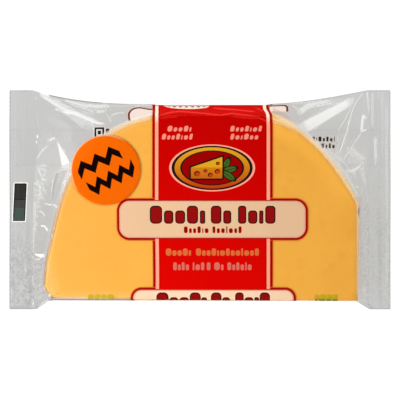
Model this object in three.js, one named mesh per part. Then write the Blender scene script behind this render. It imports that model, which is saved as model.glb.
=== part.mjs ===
// A half-moon slab of ball cheese sealed in a clear flow-wrap bag, lying on its back with the printed
// side up, and the round paper label that sticks to its front. Millimetres: +X runs along the bag,
// +Y towards the round rim of the cheese, +Z up. The origin is under the middle of the bag.
import * as THREE from "three";
import { mergeVertices } from "three/addons/utils/BufferGeometryUtils.js";

// The bag: a film tube pulled tight over the slab and sealed across both ends
const bagLength = 173.4;
const sealHeight = 99.6;
const sealWidth = 10.6;
const sealLevel = 6.0;
const filmPly = 0.8;
const hem = 0.5;
const sagPower = 1.25;
const edgeSoftness = 1.2;
const sealWave = { rise: 0.8, length: 62, start: 73 };

// Where the tube folds over the slab's two long sides, and where that fold turns out to the seals
const topFold = { level: 43.6, left: -28, right: 30, leftPull: -56, rightPull: 46 };
const bottomFold = { level: -46.4, left: -66.2, right: 70.3, leftFoot: -73.9, rightFoot: 76.4 };

// The slab: cut flat along the bottom, round at the top, with a rim that leans in towards its face
const slab = {
  thickness: 16,
  base: -45.2,
  left: -70.6,
  right: 71.8,
  crown: { level: 40.6, left: 10, right: 20 },
  leftShoulder: { start: [-67, -18], lower: [-57.8, 40.3], upper: [-22.6, 40.6] },
  rightShoulder: { start: [72.2, -6], lower: [72.2, 8.8], upper: [50.4, 40.6] },
};
const rimLean = { sides: 0.6, crown: 2.9 };

// The label: a paper disc that lies on the face and bends down over the slab's left shoulder
const label = { x: -43, y: 13.4, radius: 15.6, thickness: 0.3, gap: 0.3 };

// All outlines are measured along rays from this point, which sees every corner of them
const hub = new THREE.Vector2(0, -8);

// How finely the surfaces are divided: rays round the hub, and rings as shares of the way outwards
const rayStep = THREE.MathUtils.degToRad(3);
const cornerRoom = THREE.MathUtils.degToRad(1.2);
const sharpTurn = 0.25;
const curveSteps = 24;
const faceRings = [0.5, 1];
const tentRings = [0.07, 0.18, 0.33, 0.52, 0.75, 1];
const backRings = [1, 0.6, 0.3, 0.12, 0];
const labelRays = 60;
const labelRings = [0.25, 0.5, 0.7, 0.85, 0.95, 1];

const halfLength = bagLength / 2;
const halfSeal = sealHeight / 2;
const sealLine = halfLength - sealWidth;

function bagOutline() {
  const outline = new THREE.Shape();
  outline.moveTo(-halfLength, -halfSeal);
  outline.lineTo(bottomFold.leftFoot, -halfSeal);
  outline.lineTo(bottomFold.left, bottomFold.level);
  outline.lineTo(bottomFold.right, bottomFold.level);
  outline.lineTo(bottomFold.rightFoot, -halfSeal);
  outline.lineTo(halfLength, -halfSeal);
  outline.lineTo(halfLength, halfSeal);
  outline.lineTo(sealLine, halfSeal);
  outline.quadraticCurveTo(topFold.rightPull, topFold.level, topFold.right, topFold.level);
  outline.lineTo(topFold.left, topFold.level);
  outline.quadraticCurveTo(topFold.leftPull, topFold.level, -sealLine, halfSeal);
  outline.lineTo(-halfLength, halfSeal);
  return outline.getPoints(curveSteps);
}

function slabOutline() {
  const { base, left, right, crown, leftShoulder, rightShoulder } = slab;
  const outline = new THREE.Shape();
  outline.moveTo(left, base);
  outline.lineTo(right, base);
  outline.lineTo(...rightShoulder.start);
  outline.bezierCurveTo(...rightShoulder.lower, ...rightShoulder.upper, crown.right, crown.level);
  outline.lineTo(crown.left, crown.level);
  outline.bezierCurveTo(...leftShoulder.upper, ...leftShoulder.lower, ...leftShoulder.start);
  return outline.getPoints(curveSteps);
}

// Distance from the hub to a closed outline, along the ray at this angle
function reach(outline, angle) {
  const ray = new THREE.Vector2(Math.cos(angle), Math.sin(angle));
  let distance = 0;
  outline.forEach((corner, index) => {
    const start = corner.clone().sub(hub);
    const side = outline[(index + 1) % outline.length].clone().sub(corner);
    const turn = ray.cross(side);
    const along = start.cross(ray) / turn;
    const found = start.cross(side) / turn;
    if (along >= -1e-9 && along <= 1 + 1e-9 && found > distance) {
      distance = found;
    }
  });
  return distance;
}

const bagEdge = bagOutline();
const slabEdge = slabOutline();

// The four distances that every ray meets: slab face, slab foot, inner end of the seal, bag edge
function stations(angle) {
  const edge = reach(bagEdge, angle);
  const foot = reach(slabEdge, angle);
  const lean = rimLean.sides + rimLean.crown * Math.max(0, Math.sin(angle)) ** 2;
  const seal = Math.min(sealLine / Math.abs(Math.cos(angle)), edge - hem);
  return { face: foot - lean, foot, seal, edge };
}

// 0 at the near station and 1 at the far one, with a soft start where the film leaves the cheese
function stretch(distance, span) {
  const soften = (length) => Math.hypot(Math.max(0, length), edgeSoftness) - edgeSoftness;
  return Math.min(1, soften(distance) / soften(span));
}

function waveAt(x, y) {
  const outward = THREE.MathUtils.smoothstep(Math.abs(x), sealWave.start, halfLength);
  return sealWave.rise * outward * Math.sin((2 * Math.PI * y) / sealWave.length + Math.sign(x));
}

// Height of the upper film: flat over the face, then a tent that falls to the level of the seals
function frontHeight(angle, radius) {
  const { face, seal } = stations(angle);
  const low = sealLevel + filmPly / 2;
  const fall = (1 - stretch(radius - face, seal - face)) ** sagPower;
  return low + (slab.thickness - low) * fall;
}

// Height of the lower film: flat under the slab, then rising to meet the upper one
function backHeight(angle, radius) {
  const { foot, seal } = stations(angle);
  const high = sealLevel - filmPly / 2;
  return high * stretch(radius - foot, seal - foot);
}

function cornersOf(outline) {
  return outline.filter((point, index) => {
    const before = point.clone().sub(outline[(index + outline.length - 1) % outline.length]);
    const after = outline[(index + 1) % outline.length].clone().sub(point);
    return Math.abs(before.normalize().cross(after.normalize())) > sharpTurn;
  });
}

// Rays through every corner of the outlines, and even steps between them
function rayAngles() {
  const corners = [...cornersOf(bagEdge), ...cornersOf(slabEdge)];
  corners.push(new THREE.Vector2(-sealLine, -halfSeal), new THREE.Vector2(sealLine, -halfSeal));
  const sharp = corners.map((corner) => corner.clone().sub(hub).angle());
  const even = Array.from({ length: Math.round((2 * Math.PI) / rayStep) }, (_, index) => index * rayStep);
  const free = even.filter((angle) => sharp.every((other) => Math.abs(other - angle) > cornerRoom));
  return [...sharp, ...free].sort((one, two) => one - two);
}

// A closed solid from a sphere whose rings are moved: ring(index) gives the place of each ray on it
function solidOfRings(rays, rings, top, bottom) {
  const sphere = new THREE.SphereGeometry(1, rays.length, rings.length + 1);
  sphere.deleteAttribute("normal");
  sphere.deleteAttribute("uv");
  const places = sphere.getAttribute("position");
  const across = rays.length + 1;
  for (let index = 0; index < places.count; index += 1) {
    const row = Math.floor(index / across);
    const ray = rays[(index % across) % rays.length];
    let place = row === 0 ? top : bottom;
    if (row > 0 && row <= rings.length) {
      place = rings[row - 1](ray);
    }
    places.setXYZ(index, place.x, place.y, place.z);
  }
  const solid = mergeVertices(sphere, 1e-5);
  solid.computeVertexNormals();
  return solid;
}

function onRay(angle, radius, height) {
  const x = hub.x + radius * Math.cos(angle);
  const y = hub.y + radius * Math.sin(angle);
  return new THREE.Vector3(x, y, height + waveAt(x, y));
}

function buildBag() {
  const between = (near, far, share) => near + (far - near) * share;
  const rings = [];
  for (const share of faceRings) {
    rings.push((ray) => onRay(ray, stations(ray).face * share, slab.thickness));
  }
  for (const share of tentRings) {
    rings.push((ray) => {
      const { face, seal } = stations(ray);
      const radius = between(face, seal, share);
      return onRay(ray, radius, frontHeight(ray, radius));
    });
  }
  for (const side of [1, -1]) {
    rings.push((ray) => onRay(ray, stations(ray).edge, sealLevel + (side * filmPly) / 2));
  }
  for (const share of backRings) {
    rings.push((ray) => {
      const { foot, seal } = stations(ray);
      const radius = between(foot, seal, share);
      return onRay(ray, radius, backHeight(ray, radius));
    });
  }
  rings.push((ray) => onRay(ray, stations(ray).foot / 2, 0));
  const top = new THREE.Vector3(hub.x, hub.y, slab.thickness);
  const bottom = new THREE.Vector3(hub.x, hub.y, 0);
  return solidOfRings(rayAngles(), rings, top, bottom);
}

function buildLabel() {
  const rays = Array.from({ length: labelRays }, (_, index) => (index / labelRays) * 2 * Math.PI);
  const onFilm = (ray, share, lift) => {
    const x = label.x + share * label.radius * Math.cos(ray);
    const y = label.y + share * label.radius * Math.sin(ray);
    const fromHub = new THREE.Vector2(x, y).sub(hub);
    return new THREE.Vector3(x, y, frontHeight(fromHub.angle(), fromHub.length()) + lift);
  };
  const upper = label.gap + label.thickness;
  const rings = [
    ...labelRings.map((share) => (ray) => onFilm(ray, share, upper)),
    ...labelRings.toReversed().map((share) => (ray) => onFilm(ray, share, label.gap)),
  ];
  return solidOfRings(rays, rings, onFilm(0, 0, upper), onFilm(0, 0, label.gap));
}

function addMesh(group, name, geometry, finish) {
  const mesh = new THREE.Mesh(geometry, new THREE.MeshStandardMaterial(finish));
  mesh.name = name;
  group.add(mesh);
}

const pack = new THREE.Group();
addMesh(pack, "bag", buildBag(), { color: 0xf2b24a, roughness: 0.25, metalness: 0 });
addMesh(pack, "sticker", buildLabel(), { color: 0xfb6c08, roughness: 0.55, metalness: 0 });

export default pack;
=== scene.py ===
# %% [markdown]
# # A half-moon slab of cheese in a clear flow-wrap bag
#
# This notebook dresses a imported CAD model: a slab of ball cheese inside a printed film bag, with a round
# label. The CAD holds the bag as one plain solid. Here the solid is replaced by what it stands for: the
# cheese, the front and back sheets of film with their print, the seam on the back, and the paper label.
# Everything is in metres, +Z up, and the bag lies on its back on a white table.

# %% Load the frame
import math

import bmesh
import bpy
import numpy as np
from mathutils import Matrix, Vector, noise


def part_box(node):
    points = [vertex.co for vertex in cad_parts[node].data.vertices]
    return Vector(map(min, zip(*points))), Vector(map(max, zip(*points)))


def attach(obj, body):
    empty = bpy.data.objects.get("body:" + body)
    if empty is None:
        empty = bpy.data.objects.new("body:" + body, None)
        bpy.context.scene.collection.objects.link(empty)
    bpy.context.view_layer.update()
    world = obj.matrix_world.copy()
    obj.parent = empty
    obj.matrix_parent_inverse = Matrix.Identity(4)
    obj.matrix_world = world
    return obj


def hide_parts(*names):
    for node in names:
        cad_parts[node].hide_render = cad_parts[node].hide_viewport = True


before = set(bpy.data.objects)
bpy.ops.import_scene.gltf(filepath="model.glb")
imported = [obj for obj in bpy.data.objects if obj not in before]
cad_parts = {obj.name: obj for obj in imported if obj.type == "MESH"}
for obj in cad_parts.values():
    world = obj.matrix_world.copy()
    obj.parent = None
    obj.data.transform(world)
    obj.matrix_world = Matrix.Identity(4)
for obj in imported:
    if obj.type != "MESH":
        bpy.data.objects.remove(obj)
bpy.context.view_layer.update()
MM = 0.001
bag_low, bag_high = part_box("bag")
print("bag solid, mm:", [round(v / MM, 1) for v in (*bag_low, *bag_high)])

# %% [markdown]
# ## The camera
#
# A pack is pictured from straight above with a long lens, so that its edges stay parallel. A short lens
# would do the same job from close by, but it would show the slab's sides and make the face look too large
# for the seals. The sizes follow from the bag: the view is a little wider than the bag is long.

# %% Camera straight above the pack
VIEW_WIDTH = 181.7 * MM
VIEW_HEIGHT = 1.6
SHARP_LEVEL = 8 * MM
SENSOR = 36.0


def put(name, data):
    """A new object in the scene that shows a mesh, a lamp or a camera."""
    thing = bpy.data.objects.new(name, data)
    bpy.context.collection.objects.link(thing)
    return thing


camera = put("camera", bpy.data.cameras.new("camera"))
camera.location = (0, -0.1 * MM, VIEW_HEIGHT)
camera.data.sensor_width = SENSOR
camera.data.lens = SENSOR * (VIEW_HEIGHT - SHARP_LEVEL) / VIEW_WIDTH
camera.data.clip_end = 50
bpy.context.scene.camera = camera
print("lens:", round(camera.data.lens), "mm")

# %% [markdown]
# ## The outlines
#
# Film under tension takes its shape from what it is stretched between. Here that is the edge of the slab,
# the two long folds of the tube and the two end seals. The slab's outline is drawn with two curves for its
# shoulders, and every height is then worked out along rays from a point near the middle that sees all of
# both outlines. The numbers follow the ones that shape the solid bag, with a few of them moved by up to two
# millimetres, so the film lies close to the solid's surface.

# %% Driving sizes of the bag and the slab
HALF_LENGTH = bag_high[0]
HALF_SEAL = bag_high[1]
THICKNESS = bag_high[2]
SEAL_LINE = HALF_LENGTH - 10.6 * MM
SEAL_LEVEL = 6.0 * MM
HEM = dict(left=0.75 * MM, right=0.1 * MM)
EDGE_SOFTNESS = 1.5 * MM
TOP_FOLD = dict(level=43.6, left=(-28, -56), right=(30, 46))
BAND_PULL = 0.5 * MM
BOTTOM_FOLD = [(-74.4, -49.8), (-68.6, -45.75), (71.0, -46.1), (77.2, -49.8)]
SLAB_CORNERS = [(-71.3, -39.9), (-67.6, -44.7), (71.9, -46.0)]
RIGHT_SHOULDER = [(72.5, -2.9), (71.2, 4.3), (49.0, 42.5), (20, 41.2)]
LEFT_SHOULDER = [(10, 41.0), (-22.6, 40.6), (-58.4, 40.3), (-67.9, -17.4)]
LEFT_SIDE = (-70.3, -28.5)
# How far the rim leans in round the slab: an angle at the hub in degrees and a length in millimetres
RIM_LEAN = [
    (-180, 1.7), (-166, 1.3), (-153, 1.0), (-146, 0.25), (-34, 0.25), (-29, 0.5), (-12, 0.55), (4, 1.0),
    (14, 2.0), (30, 1.9), (40, 1.9), (50, 3.0), (68, 3.2), (90, 2.8), (112, 2.0), (130, 2.0), (150, 1.5),
    (180, 1.7),
]
HUB = np.array([0, -8 * MM])


def smooth(low, high, value):
    share = np.clip((value - low) / (high - low), 0, 1)
    return share * share * (3 - 2 * share)


def bezier(points, steps=24):
    start, lower, upper, end = np.array(points, float) * MM
    t = np.linspace(0, 1, steps + 1)[:, None]
    return (1 - t) ** 3 * start + 3 * (1 - t) ** 2 * t * lower + 3 * (1 - t) * t**2 * upper + t**3 * end


def turned_fold(x, start, pull, level):
    """Height of a fold that leaves its level at start and curves up to the corner of the seal."""
    start, pull, end = start * MM, pull * MM, math.copysign(SEAL_LINE, start)
    bend = start - 2 * pull + end
    root = np.sqrt(np.maximum((pull - start) ** 2 + bend * (x - start), 0))
    share = (-(pull - start) + math.copysign(1, end - start) * root) / bend
    return level + (HALF_SEAL - level) * np.clip(share, 0, 1) ** 2


def top_fold(x):
    level = TOP_FOLD["level"] * MM - BAND_PULL * smooth(-23 * MM, -19 * MM, x) * smooth(34 * MM, 29 * MM, x)
    left, right = [turned_fold(x, *TOP_FOLD[side], level) for side in ("left", "right")]
    curved = np.where(x > 0, right, left)
    flat = (x > TOP_FOLD["left"][0] * MM) & (x < TOP_FOLD["right"][0] * MM)
    return np.where(flat, level, np.where(np.abs(x) > SEAL_LINE, HALF_SEAL, curved))


def bottom_fold(x):
    return np.interp(x, *(np.array(BOTTOM_FOLD).T * MM))


edge_x = np.concatenate([np.linspace(-HALF_LENGTH, HALF_LENGTH, 241), [-SEAL_LINE, SEAL_LINE]])
edge_x = np.unique(np.concatenate([edge_x, [x * MM for x, y in BOTTOM_FOLD]]))
BAG_EDGE = np.concatenate([
    np.stack([edge_x, bottom_fold(edge_x)], 1),
    np.stack([edge_x, top_fold(edge_x)], 1)[::-1],
])
SLAB_EDGE = np.concatenate([
    np.array(SLAB_CORNERS) * MM,
    bezier(RIGHT_SHOULDER),
    bezier(LEFT_SHOULDER),
    np.array([LEFT_SIDE]) * MM,
])
print("outline points, bag and slab:", len(BAG_EDGE), len(SLAB_EDGE))

# %% [markdown]
# ## Rays from the hub
#
# A table of the distance from the hub to each outline, every quarter of a degree, turns any point of the
# bag into two questions: how far is it past the edge of the slab's face, and how far is it from there to
# the seal or fold?

# %% Reach of each outline along every ray
RAYS = np.linspace(-math.pi, math.pi, 1441)


def reach(outline, angles):
    ray = np.stack([np.cos(angles), np.sin(angles)], 1)[:, None]
    start = (outline - HUB)[None]
    side = np.roll(outline, -1, 0)[None] - outline[None]

    def cross(a, b):
        return a[..., 0] * b[..., 1] - a[..., 1] * b[..., 0]

    turn = cross(ray, side)
    turn = np.where(np.abs(turn) < 1e-12, 1e-12, turn)
    along = cross(start, ray) / turn
    found = cross(start, side) / turn
    return np.where((along >= -1e-6) & (along <= 1 + 1e-6), found, 0).max(1)


FOOT_REACH = reach(SLAB_EDGE, RAYS)
EDGE_REACH = reach(BAG_EDGE, RAYS)


def stations(angle):
    """Distances from the hub to the slab's face and foot, the inner end of the seal and the bag's edge."""
    foot = np.interp(angle, RAYS, FOOT_REACH)
    edge = np.interp(angle, RAYS, EDGE_REACH)
    lean = np.interp(np.degrees(angle), *np.array(RIM_LEAN).T) * MM
    hem = HEM["right"] + (HEM["left"] - HEM["right"]) * smooth(-0.45, -0.62, np.cos(angle))
    seal = np.minimum(SEAL_LINE / np.maximum(np.abs(np.cos(angle)), 1e-6), edge - hem)
    return foot - lean, foot, seal, edge


def polar(x, y):
    return np.arctan2(y - HUB[1], x - HUB[0]), np.hypot(x - HUB[0], y - HUB[1])


def on_ray(x, y):
    """Distance of each point from the hub, followed by the four stations of its ray."""
    angle, radius = polar(x, y)
    return radius, *stations(angle)


print("slab reach, mm:", round(FOOT_REACH.min() / MM, 1), "to", round(FOOT_REACH.max() / MM, 1))

# %% [markdown]
# ## The lie of the film
#
# The front sheet is flat on the face of the slab and falls like a tent to the seals; the back sheet is flat
# under the slab and rises to meet it. The fall starts softly, because film can't turn a sharp corner round
# cheese. A cloth simulation could find such a surface, but it would not put the creases where a real
# packing line puts them, so the surface is a formula and the creases are laid on it afterwards.

# %% Heights of both sheets without their creases
SAG_POWER = 1.45
WAVE = dict(rise=0.8 * MM, length=62 * MM, start=73 * MM)
SHEET_GAP = 0.05 * MM
UNDERSIDE = 0.15 * MM


def softened(length):
    return np.hypot(np.maximum(0, length), EDGE_SOFTNESS) - EDGE_SOFTNESS


def stretch(distance, span):
    """The share of a span that lies behind this distance, with a soft start where film leaves the cheese."""
    return np.clip(softened(distance) / np.maximum(softened(span), 1e-9), 0, 1)


def seal_wave(x, y):
    outward = smooth(WAVE["start"], HALF_LENGTH, np.abs(x))
    return WAVE["rise"] * outward * np.sin(2 * math.pi * y / WAVE["length"] + np.sign(x))


def tent_height(distance, span):
    low = SEAL_LEVEL + SHEET_GAP
    return low + (THICKNESS - low) * (1 - stretch(distance, span)) ** SAG_POWER


def front_rest(x, y):
    radius, face, _, seal, _ = on_ray(x, y)
    return tent_height(radius - face, seal - face)


def back_rest(x, y):
    radius, _, foot, seal, _ = on_ray(x, y)
    return UNDERSIDE + (SEAL_LEVEL - SHEET_GAP - UNDERSIDE) * stretch(radius - foot, seal - foot) ** 1.2


def web_share(x, y):
    """0 over the slab's face and along the bag's edge, and 1 in the open film between them."""
    radius, face, _, seal, _ = on_ray(x, y)
    share = np.clip((radius - face) / (seal - face), 0, 1)
    room = smooth(1.5 * MM, 9 * MM, seal - face)
    return room * np.clip(4 * share * (1 - share), 0, 1)


seal_height = float(front_rest(np.array(-80 * MM), np.array(20 * MM)))
print("front height over the left seal, mm:", round(seal_height / MM, 2))

# %% [markdown]
# ## Creases
#
# Clear film shows itself by its creases: thin, sharp folds that run from the slab's shoulders to the
# corners of the seals, where the tube has more width than it needs. On the line of a crease the sheet is
# lifted, and on both sides it falls back in a straight slope, so the slopes are flat facets that can catch
# a light, as folded film does. Each crease also has a tone that is painted on: above zero it turns the film
# white, partly as the frost of stressed film and partly as a painted highlight, and below zero it is
# painted shade, as where film is seen edge on. The large creases are listed one row for each, and the small
# ones, which are too many to matter one by one, are thrown like dice into the crumpled parts.

# %% Creases of both sheets
# A row is a crease's tone, its half width at either end, its rise at either end, and then the x and y of
# each of its points. Lengths are in millimetres.
FRONT_CREASES = [
    # the upper left corner, from the seal to the crown
    (0.5, 1, 1, 0.2, 0.2, -72.2, 47.7, -66.7, 44.2, -61.3, 41.1, -56.4, 39.6, -50.8, 37.1, -46.8, 35.5),
    (0.34, 1.6, 1.2, 0.1, 0.1, -67.2, 44.8, -63.1, 42.1, -60.8, 41.2),
    (0.6, 1.15, 0.8, 0.14, 0.14, -62.6, 40.3, -56.4, 39.1, -51.6, 36.8, -46.9, 34.9, -43.6, 34.4),
    (-0.16, 0.45, 0.4, -0.1, -0.1, -66.9, 42, -62.2, 39.1, -58, 37.8, -52.9, 35.5, -48.3, 33.7),
    (-0.08, 2.2, 1.2, -0.1, -0.1, -60.8, 37.3, -55.8, 35.1, -51.7, 31.7),
    (-0.24, 0.5, 0.4, -0.15, -0.1, -64.9, 46.4, -62.9, 45.3, -60.8, 43.9, -59, 42.6,
     -56.3, 41.5, -52.6, 39.6),
    (-0.22, 0.35, 0.35, -0.1, -0.1, -68.1, 43.5, -66.3, 42.3, -64.4, 41.2, -62.6, 40),
    (0.62, 0.55, 0.45, 0.2, 0.15, -65.6, 41.4, -63.9, 40.4),
    (-0.16, 0.5, 0.4, -0.1, -0.1, -68.3, 41.5, -66.5, 42.1),
    (-0.18, 0.35, 0.35, -0.1, -0.1, -65.1, 39.8, -63.8, 39.6),
    (0.44, 0.7, 0.9, 0.15, 0.1, -61.7, 45.2, -59, 44.6, -56.3, 43.7, -52.2, 42.8,
     -48.1, 42.5, -44.9, 42.6, -42.7, 43.2),
    (-0.12, 0.8, 1, -0.05, -0.05, -64, 44.9, -58.1, 42.4, -53.6, 41, -49, 39.5),
    (0.4, 0.8, 0.7, 0.15, 0.1, -46.9, 40.4, -44.9, 40.2, -43.4, 40.4),
    (0.3, 0.6, 0.5, 0.1, 0.1, -42.5, 43, -42.9, 40.6),
    (-0.1, 0.7, 0.6, -0.1, -0.1, -41.8, 42.1, -41.5, 39.5),
    (0.34, 0.7, 0.5, 0.1, 0.1, -40.2, 38.3, -37.7, 39.3, -34, 39.6),
    (0.34, 0.5, 0.5, 0.15, 0.15, -42.5, 39.2, -41.1, 36.8, -40.1, 34.9),
    (0.3, 0.4, 0.4, 0.15, 0.15, -39.3, 38.6, -40.4, 37, -42, 35.4),
    (-0.09, 2.6, 1.2, -0.3, -0.1, -61.7, 38.5, -58.5, 35.7, -55.4, 32.6),
    (0.4, 0.45, 0.4, 0.1, 0.1, -29.5, 42.5, -26.8, 43, -21.8, 42.8),
    (0.6, 0.9, 0.7, 0.1, 0.1, -72.4, 48.6, -70.8, 48.1, -68.3, 47.2),
    (0.24, 0.6, 0.5, 0.1, 0.1, -74.4, 46.9, -74.5, 44.7),
    (0.2, 0.5, 0.5, 0.1, 0.1, -74.6, 41.8, -74.5, 40.1),
    (0.22, 0.5, 0.5, 0.1, 0.1, -74.1, 39.2, -73.8, 37.6),
    (-0.1, 0.6, 0.5, -0.1, -0.1, -73.4, 46.4, -73.7, 43.5),
    (-0.1, 0.6, 0.5, -0.1, -0.1, -74.3, 36.6, -74.1, 32.1),
    (-0.08, 0.5, 0.5, 0, 0, -74.2, 48.4, -74.4, 43.9),
    # the open film on the left
    (0.8, 0.6, 0.5, 0.2, 0.2, -73.8, 29.2, -73.9, 28.2),
    (0.55, 0.5, 0.45, 0.2, 0.2, -74.1, 26.8, -74.2, 25.8),
    (0.4, 0.7, 0.5, 0.2, 0.15, -68.4, 27.1, -65.4, 28.3),
    (0.26, 0.4, 0.4, 0.15, 0.1, -59.6, 27.9, -57.6, 28.1),
    (0.58, 0.3, 2.3, 0.1, 0.16, -64.5, 26, -62.6, 21.2, -60.6, 15.8),
    (0.05, 0.6, 0.5, 0.05, 0.05, -74, 19, -71.7, 22.6, -69, 24.9),
    (0.5, 0.3, 0.45, 0.25, 0.25, -73.2, 13.5, -71.6, 9.7),
    (0.5, 0.35, 0.45, 0.25, 0.2, -73.2, 7.2, -72.7, 2.4),
    (-0.2, 0.9, 0.8, -0.3, -0.2, -64.7, 12.3, -66.3, 6.3, -67, -0.6),
    (0.34, 0.45, 0.4, 0.2, 0.15, -64.9, 12.8, -62.2, 13.8, -59.5, 14.4),
    (0.56, 0.4, 0.5, 0.2, 0.25, -70.8, -1.6, -68.3, -2.2, -65.8, -2.4, -64.3, -3.9),
    (0.26, 0.35, 0.35, 0.1, 0.15, -77.4, -3.6, -69.9, -3.5),
    (0.5, 0.4, 0.45, 0.2, 0.25, -73.2, -5.1, -71.7, -5.6, -70.2, -7.5),
    (0.95, 0.4, 0.5, 0.25, 0.25, -72.3, -11.8, -70.4, -12, -69, -14),
    (0.18, 0.35, 0.35, 0.1, 0.1, -74.4, -6.5, -74, -9.2, -74.6, -11.9),
    (-0.1, 0.7, 0.7, 0, 0, -75.4, -1.5, -75.4, -28.2),
    # the low left corner and fold
    (0.9, 0.4, 0.9, 0.15, 0.25, -75.2, -24.6, -73.5, -25.2, -71, -25.3),
    (0.5, 0.35, 0.45, 0.2, 0.25, -75.5, -27, -73.1, -27.2, -71.3, -25.4),
    (0.12, 0.3, 0.25, 0, 0, -75.8, -27.9, -75.7, -31.9, -75.8, -35.8),
    (0.14, 1, 1.2, 0.2, 0.2, -72, -37.8, -72.8, -41.7, -72, -45),
    (0.34, 0.35, 0.35, 0.2, 0.2, -74.9, -28.7, -73.5, -31, -74.2, -33.7),
    (0.32, 0.3, 0.3, 0.2, 0.2, -73.2, -34.6, -74.4, -36.8, -73.3, -39.6),
    (0.28, 0.6, 0.6, 0.1, 0.1, -68.5, -45.3, -71.1, -46.6, -73.3, -48.2),
    (0.95, 0.45, 0.45, 0.05, 0.05, -68.2, -43.2, -67.5, -42.8),
    (0.45, 0.4, 0.35, 0, 0, -66.5, -44.05, -52, -44.3, -38, -44.4),
    (-0.36, 0.45, 0.45, 0, 0, -65.3, -42.6, -64.4, -42.3),
    (-0.3, 0.4, 0.35, 0, 0, -70, -35.9, -70.2, -39.1),
    # the crown of the band
    (0.6, 0.45, 0.45, 0.1, 0.12, 5.9, 41.7, 10.9, 41.2, 15.4, 40.9, 24.9, 39.9),
    (0.5, 0.5, 0.45, 0.12, 0.12, -18.2, 38.2, -13.6, 39.5, -9.1, 40.1, -3.6, 39.6,
     2.2, 39.1, 6.3, 38.5, 9.5, 38.3, 14.5, 39.1, 20.4, 38.2, 25.4, 37.7),
    (0.28, 0.4, 0.4, 0.1, 0.1, 14.5, 37.8, 20.4, 37.1, 25.4, 36.7),
    (0.66, 0.3, 0.35, 0.15, 0.15, 24.9, 37.9, 29.7, 35.7),
    (0.44, 0.5, 0.4, 0.1, 0.1, 25.6, 41.8, 28.1, 40.5, 29.2, 38.5),
    (0.4, 0.3, 0.3, 0.1, 0.1, -18, 36.9, -14.5, 37.2, -10, 37.6),
    # the open film on the right
    (0.66, 3.1, 2, 0.25, 0.2, 47.2, 32.7, 57.1, 38.2, 65.3, 42.7, 68.2, 44.5),
    (0.42, 1.7, 0.8, 0.15, 0.1, 45.3, 39.8, 48.5, 42.2, 52.6, 43.8, 58.5, 44.5),
    (-0.16, 0.45, 0.4, -0.1, -0.1, 51.1, 41.3, 54.4, 42.2, 59.4, 43.6),
    (0.18, 1, 0.8, 0.05, 0.05, 41.7, 43, 44, 41.6, 46.7, 38),
    (0.2, 0.4, 0.4, 0.15, 0.2, 73.6, 47.6, 69.9, 43.2),
    (0.26, 0.6, 0.5, 0.2, 0.2, 66, 12.6, 69, 9),
    (0.45, 0.5, 0.4, 0.2, 0.2, 70.6, 6.2, 72.2, 5.4),
    (0.4, 0.5, 0.4, 0.2, 0.2, 75.6, -40, 74.2, -43.6),
    (0.3, 0.5, 0.5, 0.1, 0.1, 33.4, 36.4, 38.4, 34.9, 46, 31.2),
    (0.26, 0.45, 0.4, 0.05, 0.05, 33.4, 34.6, 38, 33.6, 42, 31.6),
    (0.95, 0.34, 0.5, 0.2, 0.2, 74, 48.6, 70.6, 43.8, 68.8, 39.4, 67.5, 34.4, 66.2, 29.7, 63.1, 20.9),
    (0.9, 0.5, 0.45, 0.1, 0.1, 67.4, 35.6, 67.2, 33),
    (0.62, 0.4, 0.4, 0.15, 0.15, 68.5, 44.2, 68.7, 42.1, 66.2, 37.2, 62.2, 30.7),
    (0.22, 0.35, 0.3, 0.1, 0.1, 62.4, 30.8, 62, 26.2, 62.1, 20.8),
    (0.78, 0.4, 0.45, 0.2, 0.2, 73.2, 30.4, 69.2, 24.7, 65.5, 18.6),
    (0.86, 0.9, 0.8, 0.25, 0.25, 74.4, 38.6, 73.8, 35.3, 73.5, 31.3),
    (0.8, 0.9, 0.5, 0.2, 0.1, 74.4, 38.2, 75.8, 36.9),
    (0.8, 0.9, 0.5, 0.2, 0.1, 73.4, 31.2, 75.8, 31.9),
    (0.44, 0.3, 0.3, 0.1, 0.1, 75.6, 33.7, 75.7, 31.8),
    (0.68, 0.3, 0.95, 0.2, 0.3, 74.1, 16.7, 71.5, 14.2, 68.9, 12.7),
    (0.46, 0.7, 0.35, 0.2, 0.15, 69.1, 12.4, 66, 13.1),
    (0.34, 0.8, 0.6, 0.2, 0.2, 61.9, 19.7, 64, 18.7, 66.2, 18),
    (0.22, 0.5, 0.4, 0.15, 0.15, 64.9, 17.6, 67.3, 15.1, 68.9, 12.6),
    (0.1, 1.6, 1.2, 0.2, 0.1, 68, 22.6, 71.2, 20.3, 74.4, 18),
    (-0.22, 0.3, 0.3, 0, 0, 72.3, -29.6, 72.4, -35.9),
    (-0.22, 0.32, 0.3, 0, 0, 33.3, 36.3, 36, 35.4),
    (0.36, 0.4, 0.35, 0, 0, 32.6, 35.1, 35.1, 34.6),
    (0.4, 0.45, 0.9, 0.1, 0.2, 66.2, 13.7, 69.2, 13.2),
    (0.72, 0.9, 0.35, 0.2, 0.1, 69.2, 13.2, 71.4, 14.4, 73.7, 16.7),
    (0.32, 0.8, 0.45, 0.2, 0.1, 69.2, 13.1, 71.2, 9.9),
    (0.34, 0.9, 0.7, 0.1, 0.1, 61.9, 20.1, 64.9, 18),
    (0.3, 0.45, 0.4, 0.05, 0.05, 33.6, 36.2, 37.6, 34.8, 41.7, 32.6),
    (0.24, 0.5, 0.4, 0.05, 0.05, 34, 38, 38.5, 36.6, 43.5, 33.5),
    (-0.12, 0.35, 0.3, 0, 0, 33.1, 35.3, 36.7, 33.7, 40.8, 31.2),
    # the left seal
    (0.5, 0.32, 0.32, 0.05, 0.05, -81, -39, -76.7, -38.7),
    (0.48, 0.35, 0.35, 0.1, 0.1, -79.9, -45.7, -79.1, -43.8, -77.5, -42.3),
    (0.34, 0.3, 0.3, 0.1, 0.1, -78.5, -43.8, -77.1, -45.3),
    (0.14, 0.4, 0.4, 0, 0, -81.7, -28.2, -81.5, -32.8),
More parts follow.
